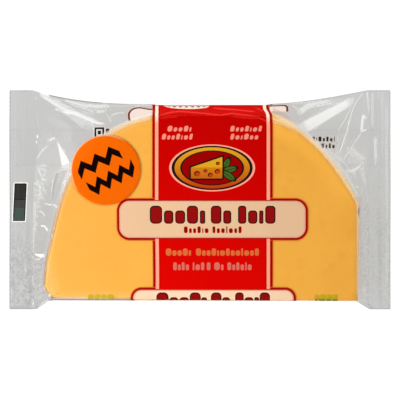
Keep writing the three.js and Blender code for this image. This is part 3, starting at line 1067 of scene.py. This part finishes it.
def film_material(name, tint, draw):
    film = Finish(name)
    layout = film.split(film.node("ShaderNodeUVMap", {"uv_map": "layout"}))
    x, y = layout[0] * (1 / MM), layout[1] * (1 / MM)
    ink = Print(film)
    draw(ink, x, y)
    tone = film.node("ShaderNodeAttribute", {"attribute_name": "tone"}, output="Fac")
    haze = film.node("ShaderNodeAttribute", {"attribute_name": "haze"}, output="Fac")
    frost_and_highlight, shade = tone.max(0), (tone * -1).max(0)
    dull = haze.max(frost_and_highlight).max(shade)
    printed = ink.cover.ramp(8, -0.4)
    on_band = x.within(*BAND, 1)
    on_fold = y.below(-43) * x.within(-70, -20)
    # the haze grey is painted darker on the left to offset the stronger key light there
    grey = film.blend(x.ramp(0.5 * MM / HALF_LENGTH, 0.5), HAZE_LEFT, HAZE_RIGHT)
    colour = film.blend(printed, grey, ink.colour)
    # positive tones: white of frost and painted highlight on bare film, a painted red highlight on the band
    colour = film.blend((frost_and_highlight * 8).min(1) * (1 - printed), colour, MARK_WHITE)
    colour = film.blend((frost_and_highlight * printed * on_band * 2.6).min(1), colour, GLINT_RED)
    # negative tones are painted shade: grey, warm brown on the low fold, dark red on the band
    shade_colour = film.blend(printed * on_band, film.blend(on_fold, SHADE, LOW_SHADE), DARK_RED)
    colour = film.blend(shade * (1 - printed * 0.3), colour, shade_colour)
    share = ink.cover.max(dull)
    skinned = share.ramp(8, -0.2)
    waves = film.noise(95, 3, 0.55) + film.noise(900, 2, 0.5) * 0.05
    skin = film.skin({
        "Base Color": film.blend(skinned, (1, 1, 1), colour),
        "Metallic": 1 - skinned,
        "Roughness": film.noise(40, 2) * 0.12 + 0.1 + dull * 0.3,
        "IOR": 1.45,
        "Specular IOR Level": 0.08,
        "Normal": film.bump(0.2, 0.5 * MM, waves),
    })
    bare = film.clear(tint)
    if ink.wash is not None:
        bare = film.mix(ink.wash, bare, film.clear(WASH))
    return film.finish(film.mix(share + (1 - share) * CLEAR_GLOSS, bare, skin))


# %% [markdown]
# ## The front print
#
# Two panels cross the band on the front. The lower one runs over the bottom fold onto the back. The badge
# is an oval medal with a wedge of cheese and a sprig, in gold and green with a black edge and a pale halo.
# The left seal carries the dark mark that a wrapping machine's sensor looks for, with a painted glint round
# its edge.

# %% Badge and eye mark
BADGE = dict(x=5.5, y=14.4, half_x=19.0, half_y=10.4)
# The rims of the medal from the outside in, as shares of its size
MEDAL_RIMS = dict(halo=1.02, edge=0.965, gold=0.895, groove=0.76, field=0.715)
WEDGE = dict(left=-9.6, right=4.6, low=-4.8, middle=0.2, tip=5.0)
SPRIG = dict(x=4.6, y=-1.6, turns=(62, 14, -34))
# The middle and the size of each hole in the wedge
HOLES = ((-6.8, -2.6, 1.2), (-3.0, -1.4, 0.8), (-0.8, -3.2, 1.0), (2.4, -1.6, 1.1), (2.6, 2.0, 0.8))
EYE_BLACK = (0.006, 0.006, 0.005)
# The lower and upper end of each step of the eye mark, and its colour
EYE_STEPS = (
    (0.3, 7.5, (0.024, 0.023, 0.021)),
    (-3.6, 0, (0.040, 0.039, 0.037)),
    (-9.7, -3.6, (0.040, 0.061, 0.052)),
)


def lay_leaf(ink, x, y, turn):
    """A leaf of the sprig, which points along the turn in degrees."""
    cos, sin = math.cos(math.radians(turn)), math.sin(math.radians(turn))
    x, y = x - SPRIG["x"], y - SPRIG["y"]
    along, aside = x * cos + y * sin, y * cos - x * sin
    leaf = oval(along, aside, 3.4, 0, 3.3, 1.35)
    ink.lay(leaf.below(1.25, 0.1), BLACK)
    ink.lay(leaf.below(0.95, 0.1).min(1 - aside.abs().below(0.12, 0.15)), LEAF)


def lay_badge(ink, x, y):
    x, y = x - BADGE["x"], y - BADGE["y"]
    medal = oval(x, y, 0, 0, BADGE["half_x"], BADGE["half_y"])
    gold = ink.finish.blend(y.ramp(0.06, 0.5), DEEP_ORANGE, GOLD)
    ink.lay(medal.below(MEDAL_RIMS["halo"], 0.012), PALE_PINK)
    ink.lay(medal.below(MEDAL_RIMS["edge"], 0.012), BLACK)
    ink.lay(medal.below(MEDAL_RIMS["gold"], 0.012), gold)
    ink.lay(medal.below(MEDAL_RIMS["groove"], 0.012), BLACK)
    ink.lay(medal.below(MEDAL_RIMS["field"], 0.014), DARK_RED)
    for turn in SPRIG["turns"]:
        lay_leaf(ink, x, y, turn)
    left, right, low, middle, tip = WEDGE.values()
    top = corner_depth(x, y, (left, middle), (right, middle), (right, tip))
    side = panel_depth(x, y, left, right, low, middle, 0.3)
    ink.lay(top.min(side).below(0.75).min((x * -1).below(10.3)), BLACK)
    ink.lay(side.below(0), gold)
    ink.lay(top.below(0), GOLD)
    for hole_x, hole_y, size in HOLES:
        ink.lay(oval(x, y, hole_x, hole_y, size * 1.15, size).below(1, 0.12), BLACK, 0.9)
        hollow = oval(x, y, hole_x + 0.2, hole_y - 0.2, size * 0.9, size * 0.75)
        ink.lay(hollow.below(1, 0.12), DEEP_ORANGE)


def lay_eye_mark(ink, x, y):
    x = x - 0.15 - (y + 0.4) * 0.05
    mark = panel_depth(x, y, -84.9, -79.3, -9.7, 7.5, 0.2)
    # a pale rim round the mark is a painted glint
    ink.lay(mark.below(0.45), MARK_WHITE, 0.55)
    ink.lay(mark.below(0), EYE_BLACK, 0.995)
    for low, high, colour in EYE_STEPS:
        ink.lay(mark.below(-0.5).min(y.within(low, high)), colour, 0.995)


# %% Front print
UPPER_PANEL = (-37.5, 48.7, -18.15, 0.5, 5.6)
LOWER_PANEL = (-31.6, 43.3, -58.7, -39.75, 4.8)
TITLE_SPANS = [(-22.8, 2.4), (4.8, 14.2), (17.1, 34.2)]
LOWER_TITLE_DROP = 39.5


def lay_titles(ink, x, y):
    """The row of bold beads on each panel. The lower row repeats the upper one, narrower and bolder."""
    lower = y.below(-35, 0.01)
    narrowed = x + lower * ((x - 6.4) * 0.11)
    words = beads(TITLE_SPANS, 4.6, gap=0.14)
    title = bead_depth(narrowed, y + lower * LOWER_TITLE_DROP, words, -10.9, -2.6, 0.36)
    title = title - lower * 0.3
    ink.lay(title.below(-0.08), BLACK)
    ink.lay(title.below(-0.62), WORD_RED)


def lay_side_words(ink, x, y):
    """The green beads low on both sides of the band, which turn dark green with painted shade towards the
    fold.
    """
    row = bead_depth(x.abs(), y, beads([(39.4, 51.0), (51.9, 62.1)], 2.9, 1), -50.4, -42.9, 0.25)
    beside = (x + 45).abs().below(6.2).max((x - 57).abs().below(5.6))
    green = ink.finish.blend(y.below(-44.9, 0.8), LIME, SHADED_GREEN)
    ink.lay(row.below(0).min(beside).min(y.below(-42.7)), green, 0.7)


def lay_crown_oval(ink, x, y):
    """The pale oval at the crown of the band, with a few short strokes in it."""
    lens = oval(x, y + (x + 7) * 0.06, -6.6, 49.8, 10.8, 4.0)
    strokes = (x * 2.3).calc("SINE").below(-0.1, 0.3)
    ink.lay(lens.below(1, 0.03), PALE_CREAM, 0.9)
    ink.lay(lens.below(0.86, 0.05).min(strokes).min(y.within(47.6, 48.5)), BLACK, 0.9)


def draw_front(ink, x, y):
    lay_band(ink, x, y, [panel_depth(x, y, *UPPER_PANEL), panel_depth(x, y, *LOWER_PANEL)])
    lay_titles(ink, x, y)
    second = beads([(-7.5, 3.9), (5.5, 18.9)], 2.05)
    lay_words(ink, x, y, second, -15.2, -11.9, DARK_RED, 0.12, 0.9)
    third = beads([(-15.7, -4.3), (-2.0, 26.6)], 2.25)
    lay_words(ink, x, y, third, -25.3, -22.0, ORANGE)
    fourth = beads([(-12.5, -5.2), (-3.6, 1.8), (2.8, 4.6), (6.2, 10.6), (12.2, 23.4)], 1.9, 2)
    lay_words(ink, x, y, fourth, -31.9, -28.2, PINK, 0.08)
    slanted = x - (y - 30) * 0.2
    for low, spans in ((30.7, [(-15.2, -4.2), (13.2, 27.6)]), (27.1, [(-17.0, -3.0), (14.0, 26.8)])):
        lay_words(ink, slanted, y, beads(spans, 2.1), low, low + 2.9, WORD_PINK, 0.14)
    lay_side_words(ink, x, y)
    lay_badge(ink, x, y)
    lay_crown_oval(ink, x, y)
    lay_eye_mark(ink, x, y)


# %% [markdown]
# ## The back print
#
# Two more panels cross the band on the back, beside rows of small beads, a plain square and a few longer
# rows on the red. The back sheet lies beside warm cheese, so a painted reflection of its colour is laid on
# the upper right panel, and a warm painted shade along the slab's right side.

# %% Back print
BACK_PANELS = [(-32.9, 40.2, 33.6, 44.2), (-31.6, 43.5, -62.0, -43.0)]
SMALL_WORDS = dict(height=2.5, right=62.1, rows=((26.5, 38.0, 61.6), (23.4, 40.0, 61.6)))
SQUARE = (-48.2, -43.7, 28.3, 33.1, 0.1)
RED_ROWS = dict(count=6, top=12.5, pitch=5.4)


def lay_small_words(ink, x, y):
    """Two rows of black beads with a pale halo, to the right of the band."""
    for low, left, right in SMALL_WORDS["rows"]:
        high = low + SMALL_WORDS["height"]
        row = bead_depth(x, y, beads([(left, right)], 1.6, 2), low, high, 0.3)
        in_row = y.within(low - 0.3, high + 0.3).min(x.within(30, SMALL_WORDS["right"]))
        ink.lay(row.below(0.25, 0.4).min(in_row), MARK_WHITE, 0.35)
        ink.lay(row.below(-0.14).min(in_row), BLACK, 0.99)


def lay_square(ink, x, y):
    """A plain black square in a square line, and a row of beads beside it."""
    square = panel_depth(x, y, *SQUARE)
    ink.lay(square.below(0.5, 0.4), MARK_WHITE, 0.5)
    ink.lay(square.below(0).min(1 - square.below(-0.9)).max(square.below(-1.5)), BLACK, 0.99)
    marks = bead_depth(x, y, beads([(-43.0, -24.0)], 1.7, 2), 29.0, 32.6, 0.3)
    ink.lay(marks.below(-0.1).min(x.within(-43.1, -24)).min(y.within(28.8, 32.8)), BLACK, 0.99)


def draw_back(ink, x, y):
    slack = (((x + 27) * 0.32).max(0).min(1.2) + 0.5).min((x * -0.1 + 2).max(-0.9))
    corner = x.below(0, 1) * 2.5 + 2.5
    upper, lower = [panel_depth(x, y + slack, *panel, corner) for panel in BACK_PANELS]
    upper = upper + x.within(33, 60) * y.below(40.3, 0.6) * 50
    lay_band(ink, x, y, [upper, lower], thin=True)
    # a painted reflection of the cheese on the upper right panel, and warm painted shade beside the slab's
    # right side
    cheese_reflection = panel_depth(x, y + x * 0.75, 31, 42.5, 64.2, 68.6, 2)
    ink.lay(cheese_reflection.below(-0.2, 2.0).min(x.within(33.2, 60)), REFLECTED_CHEESE, 0.4)
    ink.lay(panel_depth(x, y, 70, 74.2, -41, 2, 1).below(0, 1.2), WARM_SHADE, 0.2)
    ink.wash = ink.wash.max(y.below(-45.4, 0.6) * x.within(-66.5, 70, 2))
    lay_small_words(ink, x, y)
    lay_square(ink, x, y)
    for line in range(RED_ROWS["count"]):
        level = RED_ROWS["top"] - line * RED_ROWS["pitch"]
        words = beads([(-14.0, 4.0), (6.0, 25.0 - 3.0 * (line % 3))], 2.1)
        row = bead_depth(x, y, words, level, level + 2.2, 0.3)
        ink.lay(row.below(0).min(y.within(level - 0.2, level + 2.4)), CREAM)


# %% Film pieces
front_film = film_material("film_front", (0.97, 0.97, 0.965), draw_front)
back_film = film_material("film_back", (0.635, 0.635, 0.628), draw_back)
add_piece("film_front", sheet_mesh("film_front", front_rest, front_shape, False), front_film, "film", "bag")
add_piece("film_back", sheet_mesh("film_back", back_rest, back_shape, True), back_film, "film", "bag")

# %% [markdown]
# ## The back seam
#
# A flow-wrap tube is closed along its back. The two edges of the film are sealed face to face and the fin
# is laid flat, so it is a strip of double film that runs from seal to seal. It follows the back sheet just
# below it.

# %% Back seam
SEAM = dict(low=15.2 * MM, high=32.2 * MM, drop=0.07 * MM, end=HALF_LENGTH - 0.4 * MM, edge=0.5 * MM)


def lay_seam(across, up):
    x = (2 * across - 1) * SEAM["end"]
    y = SEAM["low"] + up * (SEAM["high"] - SEAM["low"])
    from_edge = np.minimum(y - SEAM["low"], SEAM["high"] - y)
    tone = 0.05 * np.clip(1 - from_edge / SEAM["edge"], 0, 1)
    haze = 0.012 * np.abs(np.sin(y / SEAM["edge"]))
    return (x, y, back_shape(x, y)[0] - SEAM["drop"]), (x, y), tone, haze


def draw_seam(ink, x, y):
    lay_band(ink, x, y, [])


seam_film = film_material("film_seam", (0.996, 0.992, 0.994), draw_seam)
add_piece("back_seam", film_grid("back_seam", 260, 16, lay_seam, True), seam_film, "film", "bag")

# %% [markdown]
# ## Rings that make a closed solid
#
# The cheese and the label are both closed shapes with an outline. Blender's create_uvsphere operator
# already has the faces that are needed: a pole at the top, rings, and a pole at the bottom. Moving each
# ring to its place gives a closed, evenly divided solid without any hand-made faces.

# %% Solid of rings
def solid_of_rings(name, rays, rings, top, bottom):
    bm = bmesh.new()
    bmesh.ops.create_uvsphere(bm, u_segments=len(rays), v_segments=len(rings) + 1, radius=1)
    places = np.array([ring(rays) for ring in rings])
    for vert in bm.verts:
        row = round(math.acos(max(-1, min(1, vert.co.z))) / math.pi * (len(rings) + 1))
        column = round(math.atan2(vert.co.y, vert.co.x) / (2 * math.pi) * len(rays)) % len(rays)
        if row == 0:
            vert.co = top
        elif row > len(rings):
            vert.co = bottom
        else:
            vert.co = places[row - 1][column]
    bmesh.ops.recalc_face_normals(bm, faces=bm.faces[:])
    for face in bm.faces:
        face.smooth = True
    return to_mesh(bm, name)


# %% [markdown]
# ## The slab of cheese
#
# The slab was cut from a ball cheese: flat faces, a straight cut along the bottom, and a round rim that
# still leans with the ball's curve. Its edges are slightly worn and its faces very slightly uneven, as a
# wire leaves them. It stays a little inside the film wherever the film comes down over its rim.

# %% Cheese mesh
CHEESE_TOP = THICKNESS - 0.22 * MM
CHEESE_BASE = 0.35 * MM
RIM_START = 9 * MM
CORNER = 1.3 * MM
UNEVEN = 0.05 * MM
NICKS = 0.10 * MM


def film_reach(rays, height):
    """Distance from the hub at which the front sheet has come down to a height."""
    face, _, seal, _ = stations(rays)
    reached = []
    for near, far in zip(face, seal):
        radii = np.linspace(near, far, 80)
        reached.append(np.interp(-height, -tent_height(radii - near, far - near), radii))
    return np.array(reached)


def cheese_ring(share, height, pull=0):
    """A ring at a share of the way from the hub to the slab's side, drawn in by pull."""
    def ring(rays):
        face, foot, _, _ = stations(rays)
        lean = smooth(RIM_START, THICKNESS, np.full_like(rays, height)) ** 1.2
        side = np.minimum(foot - (foot - face) * lean, film_reach(rays, height + 0.18 * MM)) - 0.1 * MM
        radius = side * share - pull
        x, y = HUB[0] + radius * np.cos(rays), HUB[1] + radius * np.sin(rays)
        uneven = UNEVEN * read_noise(x * 45, y * 45, 5.0) * (share > 0.5 or height > RIM_START)
        nick = NICKS * read_noise(x * 140, y * 140, height * 300)
        radius = radius + nick * (share >= 1)
        return np.stack([HUB[0] + radius * np.cos(rays), HUB[1] + radius * np.sin(rays), height + uneven], 1)

    return ring


def worn_edge(steps):
    """Points of a quarter circle, as the share of the corner that each lies out and in."""
    return [(1 - math.cos(turn), 1 - math.sin(turn)) for turn in np.linspace(0, math.pi / 2, steps)]


cheese_rays = np.linspace(0, 2 * math.pi, 361)[:-1]
for corner in SLAB_CORNERS:
    angle = polar(*(np.array(corner) * MM))[0] % (2 * math.pi)
    cheese_rays[np.argmin(np.abs(cheese_rays - angle))] = angle
cheese_rays = (cheese_rays + math.pi) % (2 * math.pi) - math.pi
cheese_rings = [cheese_ring(share, CHEESE_TOP) for share in np.linspace(0.1, 0.96, 12)]
cheese_rings += [cheese_ring(1, CHEESE_TOP - CORNER * near, CORNER * far) for near, far in worn_edge(6)]
side_heights = np.linspace(CHEESE_TOP - CORNER, CHEESE_BASE + CORNER, 12)[1:-1]
cheese_rings += [cheese_ring(1, height) for height in side_heights]
cheese_rings += [cheese_ring(1, CHEESE_BASE + CORNER * far, CORNER * near) for near, far in worn_edge(5)]
cheese_rings.append(cheese_ring(0.5, CHEESE_BASE))
cheese_mesh = solid_of_rings("cheese", cheese_rays, cheese_rings, (*HUB, CHEESE_TOP), (*HUB, CHEESE_BASE))

# %% [markdown]
# ## Cheese as a material
#
# Young ball cheese is smooth, slightly moist and a little translucent: light enters it and comes back
# yellower. A touch of subsurface gives the soft edge, and slow and fine noise together keep the colour from
# being flat. Light and shade are painted into the colour as well: the face is paler towards the left, where
# the key light falls, the rim has a painted glow near the upper right and along the left and the bottom,
# and the side is painted light on the right and a brown painted shade on the left. There is one bruise on
# the right, and the side is a little browner low on the far left.

# %% Cheese material
CHEESE_DEEP = (0.828, 0.363, 0.030)
CHEESE_PALE = (0.876, 0.404, 0.038)
SPECK = (0.93, 0.49, 0.08)
SPOT = (0.80, 0.328, 0.03)
LIT_LEFT = (0.88, 0.42, 0.08)
RIGHT_GLOW = (1.0, 0.47, 0.045)
EDGE_GLOW = (0.93, 0.50, 0.13)
LIT_SIDE_RIGHT = (1.0, 0.64, 0.20)
SHADED_SIDE_LEFT = (0.45, 0.245, 0.092)
LEFT_BROWN = (0.42, 0.20, 0.12)
BRUISE = (0.22, 0.055, 0.02)


def cheese_material():
    cheese = Finish("cheese")
    clouds = cheese.noise(28, 4, 0.6)
    specks = cheese.noise(420, 2, 0.6)
    spots = cheese.noise(170, 3, 0.6)
    x, y, z = [part * (1 / MM) for part in cheese.split(cheese.place())]
    base = cheese.blend(clouds.ramp(3.2, -1.1), CHEESE_DEEP, CHEESE_PALE)
    base = cheese.blend(specks.ramp(5, -2.9) * 0.3, base, SPECK)
    base = cheese.blend(spots.ramp(6, -3.2) * 0.5, base, SPOT)
    # painted light: the face is paler towards the left, where the key light falls
    base = cheese.blend(x.ramp(-0.012, 0.1) * 0.5, base, LIT_LEFT)
    # a painted glow just inside the rim at the upper right
    upper_right = (x - 12).ramp(0.05) * (y + 4).ramp(0.1)
    glow = oval(x, y, 5, -12, 67, 53).within(0.88, 0.99, 0.08) * upper_right
    base = cheese.blend(glow * 0.6, base, RIGHT_GLOW)
    # a painted glow along the left rim and the bottom edge
    rim = oval(x, y, -2, -22, 69.5, 64).within(0.94, 1.1, 0.06) * x.below(-35, 20)
    rim = rim.max(y.below(-42.2, 3) * x.below(0, 90))
    base = cheese.blend(rim * 0.6, base, EDGE_GLOW)
    # the side is painted light on the right and a brown painted shade on the left
    side = cheese.blend(x.below(-45, 40), LIT_SIDE_RIGHT, SHADED_SIDE_LEFT)
    base = cheese.blend(z.below(15.3, 1.2) * 0.85, base, side)
    base = cheese.blend(x.below(-69.5, 1.2) * z.below(13, 3) * 0.3, base, LEFT_BROWN)
    bruise = oval(x, y, 72.5, -5.4, 1.25, 2.5).below(0.9, 0.5) * z.within(7, 16, 4)
    base = cheese.blend(bruise * 0.95, base, BRUISE)
    return cheese.finish(cheese.skin({
        "Base Color": base,
        "Roughness": clouds * 0.2 + 0.35,
        "IOR": 1.44,
        "Subsurface Weight": 0.12,
        "Subsurface Radius": (1.0, 0.5, 0.15),
        "Subsurface Scale": 2.5 * MM,
        "Normal": cheese.bump(0.2, 0.5 * MM, clouds * 0.6 + specks * 0.25),
    }))


add_piece("cheese", cheese_mesh, cheese_material(), "cheese", "bag")

# %% [markdown]
# ## The label
#
# A die-cut disc of bright orange paper. It is stiffer than the film, so it lies flat on the face and bends
# in one smooth curve over the slab's shoulder, and it carries two bold zigzag lines. A painted highlight
# lies along its upper left edge.

# %% Label mesh
LABEL_LIFT = 0.08 * MM
LABEL_PLY = 0.16 * MM


def label_ring(share, lift):
    def ring(rays):
        x = LABEL["x"] + share * LABEL["radius"] * np.cos(rays)
        y = LABEL["y"] + share * LABEL["radius"] * np.sin(rays)
        return np.stack([x, y, front_rest(x, y) + lift], 1)

    return ring


label_rays = np.linspace(0, 2 * math.pi, 121)[:-1]
label_shares = np.linspace(0.06, 1, 16)
label_top = LABEL_LIFT + LABEL_PLY
label_rings = [label_ring(share, label_top) for share in label_shares[:-1]]
label_rings += [label_ring(0.994, label_top), label_ring(1, label_top - 0.06 * MM), label_ring(1, LABEL_LIFT)]
label_rings += [label_ring(share, LABEL_LIFT) for share in label_shares[:-1][::-3]]
label_poles = [(LABEL["x"], LABEL["y"], THICKNESS + lift) for lift in (label_top, LABEL_LIFT)]
label_mesh = solid_of_rings("sticker_disc", label_rays, label_rings, *label_poles)

# %% Label material
ZIGZAG = dict(half_height=2.0, half_stroke=2.0, tilt=math.radians(27))
PAPER_DEEP = (0.71, 0.102, 0.0002)
PAPER_PALE = (0.76, 0.122, 0.0004)
ZIGZAG_BLACK = (0.004, 0.001, 0.001)
EDGE_HIGHLIGHT = (0.80, 0.50, 0.25)


def zigzag(x, y, middle, level, pitch, turns):
    """A bold zigzag line of so many turns, centred on a point."""
    x, y = x - middle, y - level
    wave = ((x / pitch).calc("FRACT") - 0.5).abs() * (4 * ZIGZAG["half_height"]) - ZIGZAG["half_height"]
    return (y - wave).abs().below(ZIGZAG["half_stroke"], 0.2).min(x.abs().below(pitch * turns / 2))


def label_material():
    label = Finish("label_paper")
    x, y, _ = label.split(label.place())
    x, y = (x - LABEL["x"]) * (1 / MM), (y - LABEL["y"]) * (1 / MM)
    cos, sin = math.cos(ZIGZAG["tilt"]), math.sin(ZIGZAG["tilt"])
    across, up = x * cos + y * sin, y * cos - x * sin
    fibres = label.noise(700, 3, 0.6)
    paper = label.blend(fibres, PAPER_DEEP, PAPER_PALE)
    rows = zigzag(across, up, -1.2, 4.9, 7.0, 3).max(zigzag(across, up, 0.8, -4.7, 5.7, 4))
    paper = label.blend(rows, paper, ZIGZAG_BLACK)
    # a painted highlight along the upper left edge of the disc
    out = oval(x, y, 0, 0, LABEL["radius"] / MM, LABEL["radius"] / MM)
    upper_left = (y - x).ramp(0.12, -0.3)
    paper = label.blend((1 - out.below(0.968, 0.01)) * upper_left * 0.6, paper, EDGE_HIGHLIGHT)
    return label.finish(label.skin({
        "Base Color": paper,
        "Roughness": fibres * 0.1 + 0.5,
        "IOR": 1.4,
        "Specular IOR Level": 0.03,
        "Normal": label.bump(0.12, 0.1 * MM, fibres),
    }))


add_piece("sticker_disc", label_mesh, label_material(), "label", "sticker")

# %% [markdown]
# ## Table and light
#
# The table is a white light table: it glows a little, so the pack hardly throws a shadow and the film is
# seen against an even ground. It is left out of reflections, so that it doesn't veil the film. Large
# softboxes stand round the pack at about half height, so that flat film over the face reflects only the
# dark ceiling and stays clear, while creased film throws a lamp's light up to the camera. The key light
# stands close by on the left, so the light falls off across the pack.

# %% Table
table_bm = bmesh.new()
bmesh.ops.create_grid(table_bm, x_segments=1, y_segments=1, size=4)
table = put("table", to_mesh(table_bm, "table"))
table.visible_glossy = False
white = Finish("table_white")
table.data.materials.append(white.finish(white.skin({
    "Base Color": (0.10, 0.10, 0.10, 1),
    "Roughness": 0.9,
    "Specular IOR Level": 0.0,
    "Emission Color": (1, 1, 1, 1),
    "Emission Strength": 0.96,
})))

# %% Softboxes and sky
LAMPS = {
    # azimuth and height above the table in degrees, distance, width and height in metres, light on the table
    "key": (198, 33, 0.38, 0.66, 0.22, 0.95),
    "right": (14, 24, 1.0, 0.9, 0.40, 0.16),
    "top": (80, 30, 1.0, 0.9, 0.40, 0.30),
    "bottom": (-82, 38, 1.0, 0.9, 0.40, 0.145),
}
for name, (azimuth, height, distance, width, tall, light) in LAMPS.items():
    lamp = bpy.data.lights.new(f"softbox_{name}", "AREA")
    lamp.shape = "RECTANGLE"
    lamp.size, lamp.size_y = width, tall
    flat, rise = math.cos(math.radians(height)), math.sin(math.radians(height))
    towards = Vector((math.cos(math.radians(azimuth)) * flat, math.sin(math.radians(azimuth)) * flat, rise))
    radiance = light * math.pi * distance**2 / (width * tall * rise)
    lamp.energy = radiance * math.pi * width * tall
    stand = put(f"softbox_{name}", lamp)
    stand.location = towards * distance
    stand.rotation_euler = towards.to_track_quat("Z", "Y").to_euler()
    stand.visible_camera = False
    print("softbox", name, "radiance", round(radiance, 1))

world = bpy.data.worlds.new("studio")
bpy.context.scene.world = world
world.use_nodes = True
sky = world.node_tree.nodes["Background"]
sky.inputs["Color"].default_value = (1, 1, 1, 1)
sky.inputs["Strength"].default_value = 0.05
bpy.context.scene.view_settings.view_transform = "Standard"
